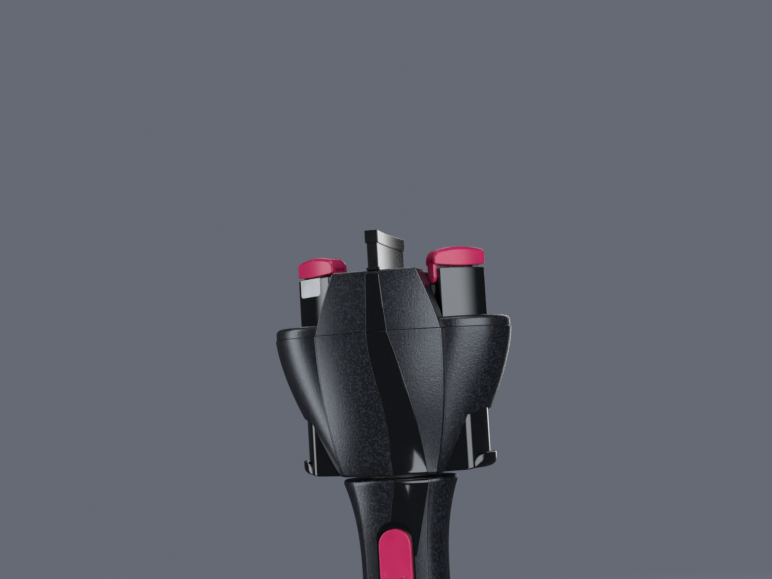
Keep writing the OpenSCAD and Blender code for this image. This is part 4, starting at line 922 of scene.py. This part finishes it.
def makeLever(side, s):
    # a block whose underside climbs outwards, hollowed from above round a boss
    z0, z1, out = s["low"], s["low"] + s["height"], s["outer"]
    rings = leverRings(s, *roundedSpan(z0, z1, 0.6, 0.3, 14, 5))
    climb = s["rise"] * np.clip((rings[..., 0] + 2) / (out + 2), 0, 1) ** 1.5
    rings[..., 2] += climb * np.clip(1 - (rings[..., 2] - z0) / s["riseHeight"], 0, 1)
    lever = loftObject("lever", rings)
    hollow = loftObject("tool", leverRings(s, [z0 + s["floor"], z1 + 1], [s["wall"], s["wall"]]))
    carve(hollow, [rod(0, 0, s["boss"], z0, z1 + 2, 48)])
    carve(lever, [hollow])
    # curled lip along the outer side: its hook section grows from nothing at both ends
    g = np.linspace(-1, 1, 61)
    grow = np.sqrt(np.clip(1 - np.abs(g) ** 7, 0.0004, 1))[:, None]
    reach, none = s["reach"] * grow, 0 * grow
    high = mix(2.4, s["lipHeight"], grow)
    t = np.minimum(s["lipThick"], reach * 0.5 + 0.25)
    keyX = out + np.concatenate([none - 1.5, reach * 0.4, reach, reach, reach - t, reach - t, reach * 0.3,
                                 none - 1.5], 1)
    keyZ = z0 + s["rise"] - 0.3 + np.concatenate([none - 0.45, 0.2 * grow, 1.9 * grow, high, high, 2.5 * grow + 0.2,
                                                  1.7 * grow + 0.4, none + 1.9], 1)
    ring = softCorners(np.stack([keyX, keyZ], -1), [0.01, 1.2, 1.6, 0.5, 0.5, 0.9, 0.8, 0.01], 5)
    y = np.repeat((g * (s["half"] - s["lipShort"]))[:, None], ring.shape[1], 1)
    # the lip follows the lever's own side in plan
    plan = leverRings(s, [0], [0])[0]
    plan = plan[plan[:, 0] > 0]
    back = out - np.interp(y, plan[:, 1], plan[:, 0])
    lip = loftObject("lip", np.stack([ring[..., 0] - back, y, ring[..., 1]], -1)[:, ::-1])
    lever = joined("lever", [lever, lip])
    moveMesh(lever, 180 if side == "left" else 0, (rotors[side][0], 0, 0))
    finishPiece(lever, side + "Lever", glossMat, side + "_lever", [side + "_pusher"])


for side in rotors:
    makeLever(side, leverSettings)


# Finishes of the nodes that keep their own shape
keptNodes = (
    (glossMat, "switch_plate"), (brassMat, "switch_slider"), (boardMat, "circuit_board"), (cellMat, "battery_cells"),
    (trayMat, "neck_washer neck_bush switch_body battery_tray"), (satinMat, "left_clip_stem right_clip_stem"),
    (springMat, "cell_springs bridge_contact terminal_contacts retaining_ring left_clip_spring right_clip_spring"),
    (steelMat, "motor drive_shaft sun_shaft handle_screws deck_screws"),
    (nylonMat, "gearbox gear_deck sun_gear left_rotor_gear right_rotor_gear"))
for mat, nodes in keptNodes:
    for node in nodes.split():
        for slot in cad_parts[node].material_slots:
            slot.material = mat
print("finishes set")


# Floor and backdrop: the floor fades into the far colour from near to fade metres out, and gloss mirrors the dim one
stageSettings = {"floor": (0.62, 0.64, 0.66), "far": (0.130, 0.144, 0.178), "dim": (0.035, 0.038, 0.045),
                 "near": 0.35, "fade": 0.9, "size": 14}


def makeStage(s):
    # a flat floor under a plain world
    mesh = bpy.data.meshes.new("floor")
    h = s["size"]
    mesh.from_pydata([(-h, -h, 0), (h, -h, 0), (h, h, 0), (-h, h, 0)], [], [(0, 1, 2, 3)])
    floor = bpy.data.objects.new("floor", mesh)
    scene.collection.objects.link(floor)
    mat = bpy.data.materials.new("paleFloor")
    mat.use_nodes = True
    tree = mat.node_tree
    tree.nodes.clear()
    mirrored, colour = studioColour(tree, s)
    pale = addNode(tree, "BsdfDiffuse", {"Color": (*s["floor"], 1)})
    far = addNode(tree, "Emission", {"Color": colour})
    where = addNode(tree, "TexCoord", {})
    length = addNode(tree, "VectorMath", {0: where.outputs["Object"]}, operation="LENGTH")
    share = addNode(tree, "MapRange", {"Value": length.outputs["Value"], "From Min": s["near"],
                                       "From Max": s["fade"]}, interpolation_type="SMOOTHSTEP")
    either = addNode(tree, "Math", {0: share.outputs["Result"], 1: mirrored}, operation="MAXIMUM")
    blend = addNode(tree, "MixShader", {"Fac": either.outputs["Value"], 1: pale.outputs["BSDF"],
                                        2: far.outputs["Emission"]})
    addNode(tree, "OutputMaterial", {"Surface": blend.outputs["Shader"]})
    mesh.materials.append(mat)
    world = bpy.data.worlds.new("studio")
    world.use_nodes = True
    tree = world.node_tree
    setInputs(tree, tree.nodes["Background"], {"Color": studioColour(tree, s)[1], "Strength": 1})
    scene.world = world


def studioColour(tree, s):
    # the sign of a mirrored ray, and the backdrop's colour, which is dimmer for such a ray
    mirrored = addNode(tree, "LightPath", {}).outputs["Is Glossy Ray"]
    return mirrored, mixColour(tree, mirrored, s["far"], s["dim"])


makeStage(stageSettings)

# Each lamp: azimuth to the object's right, distance and height, width and height of its panel, watts, and the share
# of the panel over which it fades at its sides and at its top and foot; the low one is also rolled
lamps = {"key": (42, 560, 290, 960, 560, 5.4, 0.28, 0.15), "left": (-64, 330, 250, 230, 490, 1.3, 0.35, 0.05),
         "low": (17.5, 190, 14, 95, 62, 0.062, 0.04, 0.04, -26), "rim": (172, 800, 430, 300, 860, 1.7, 0.35, 0.2),
         "fill": (-40, 900, 380, 800, 640, 0.1, 0.4, 0.4), "back": (-160, 700, 900, 500, 500, 2.2, 0.3, 0.3),
         "top": (10, 260, 900, 600, 600, 2, 0.3, 0.3)}


def fadePanel(tree, sideFade, topFade):
    # brightness of a panel: full in the middle, easing to nothing at each of its four edges
    place = addNode(tree, "NewGeometry", {})
    axes = addNode(tree, "SeparateXYZ", {"Vector": place.outputs["Parametric"]})
    product = 1
    for axis, low, high in (("X", 0, sideFade), ("X", 1, 1 - sideFade), ("Y", 0, topFade), ("Y", 1, 1 - topFade)):
        ease = addNode(tree, "MapRange", {"Value": axes.outputs[axis], "From Min": low, "From Max": high},
                       interpolation_type="SMOOTHSTEP")
        times = addNode(tree, "Math", {0: product, 1: ease.outputs["Result"]}, operation="MULTIPLY")
        product = times.outputs["Value"]
    setInputs(tree, tree.nodes["Emission"], {"Strength": product})


def addLamp(name, azimuth, distance, height, wide, tall, watts, sideFade, topFade, roll=0, aim=195):
    # a panel that faces the head and isn't seen itself
    a = math.radians(azimuth)
    data = bpy.data.lights.new(name, "AREA")
    data.shape = "RECTANGLE"
    data.size, data.size_y = wide * mm, tall * mm
    data.energy = watts
    data.use_nodes = True
    fadePanel(data.node_tree, sideFade, topFade)
    lamp = bpy.data.objects.new(name, data)
    lamp.visible_camera = False
    place = Vector((math.sin(a) * distance, -math.cos(a) * distance, height)) * mm
    look = Vector((0, 0, aim * mm)) - place
    turn = look.to_track_quat("-Z", "Y").to_matrix().to_4x4()
    lamp.matrix_world = Matrix.Translation(place) @ turn @ Matrix.Rotation(math.radians(roll), 4, "Z")
    scene.collection.objects.link(lamp)


for name, values in lamps.items():
    addLamp(name, *values)
print("stage and lamps set")
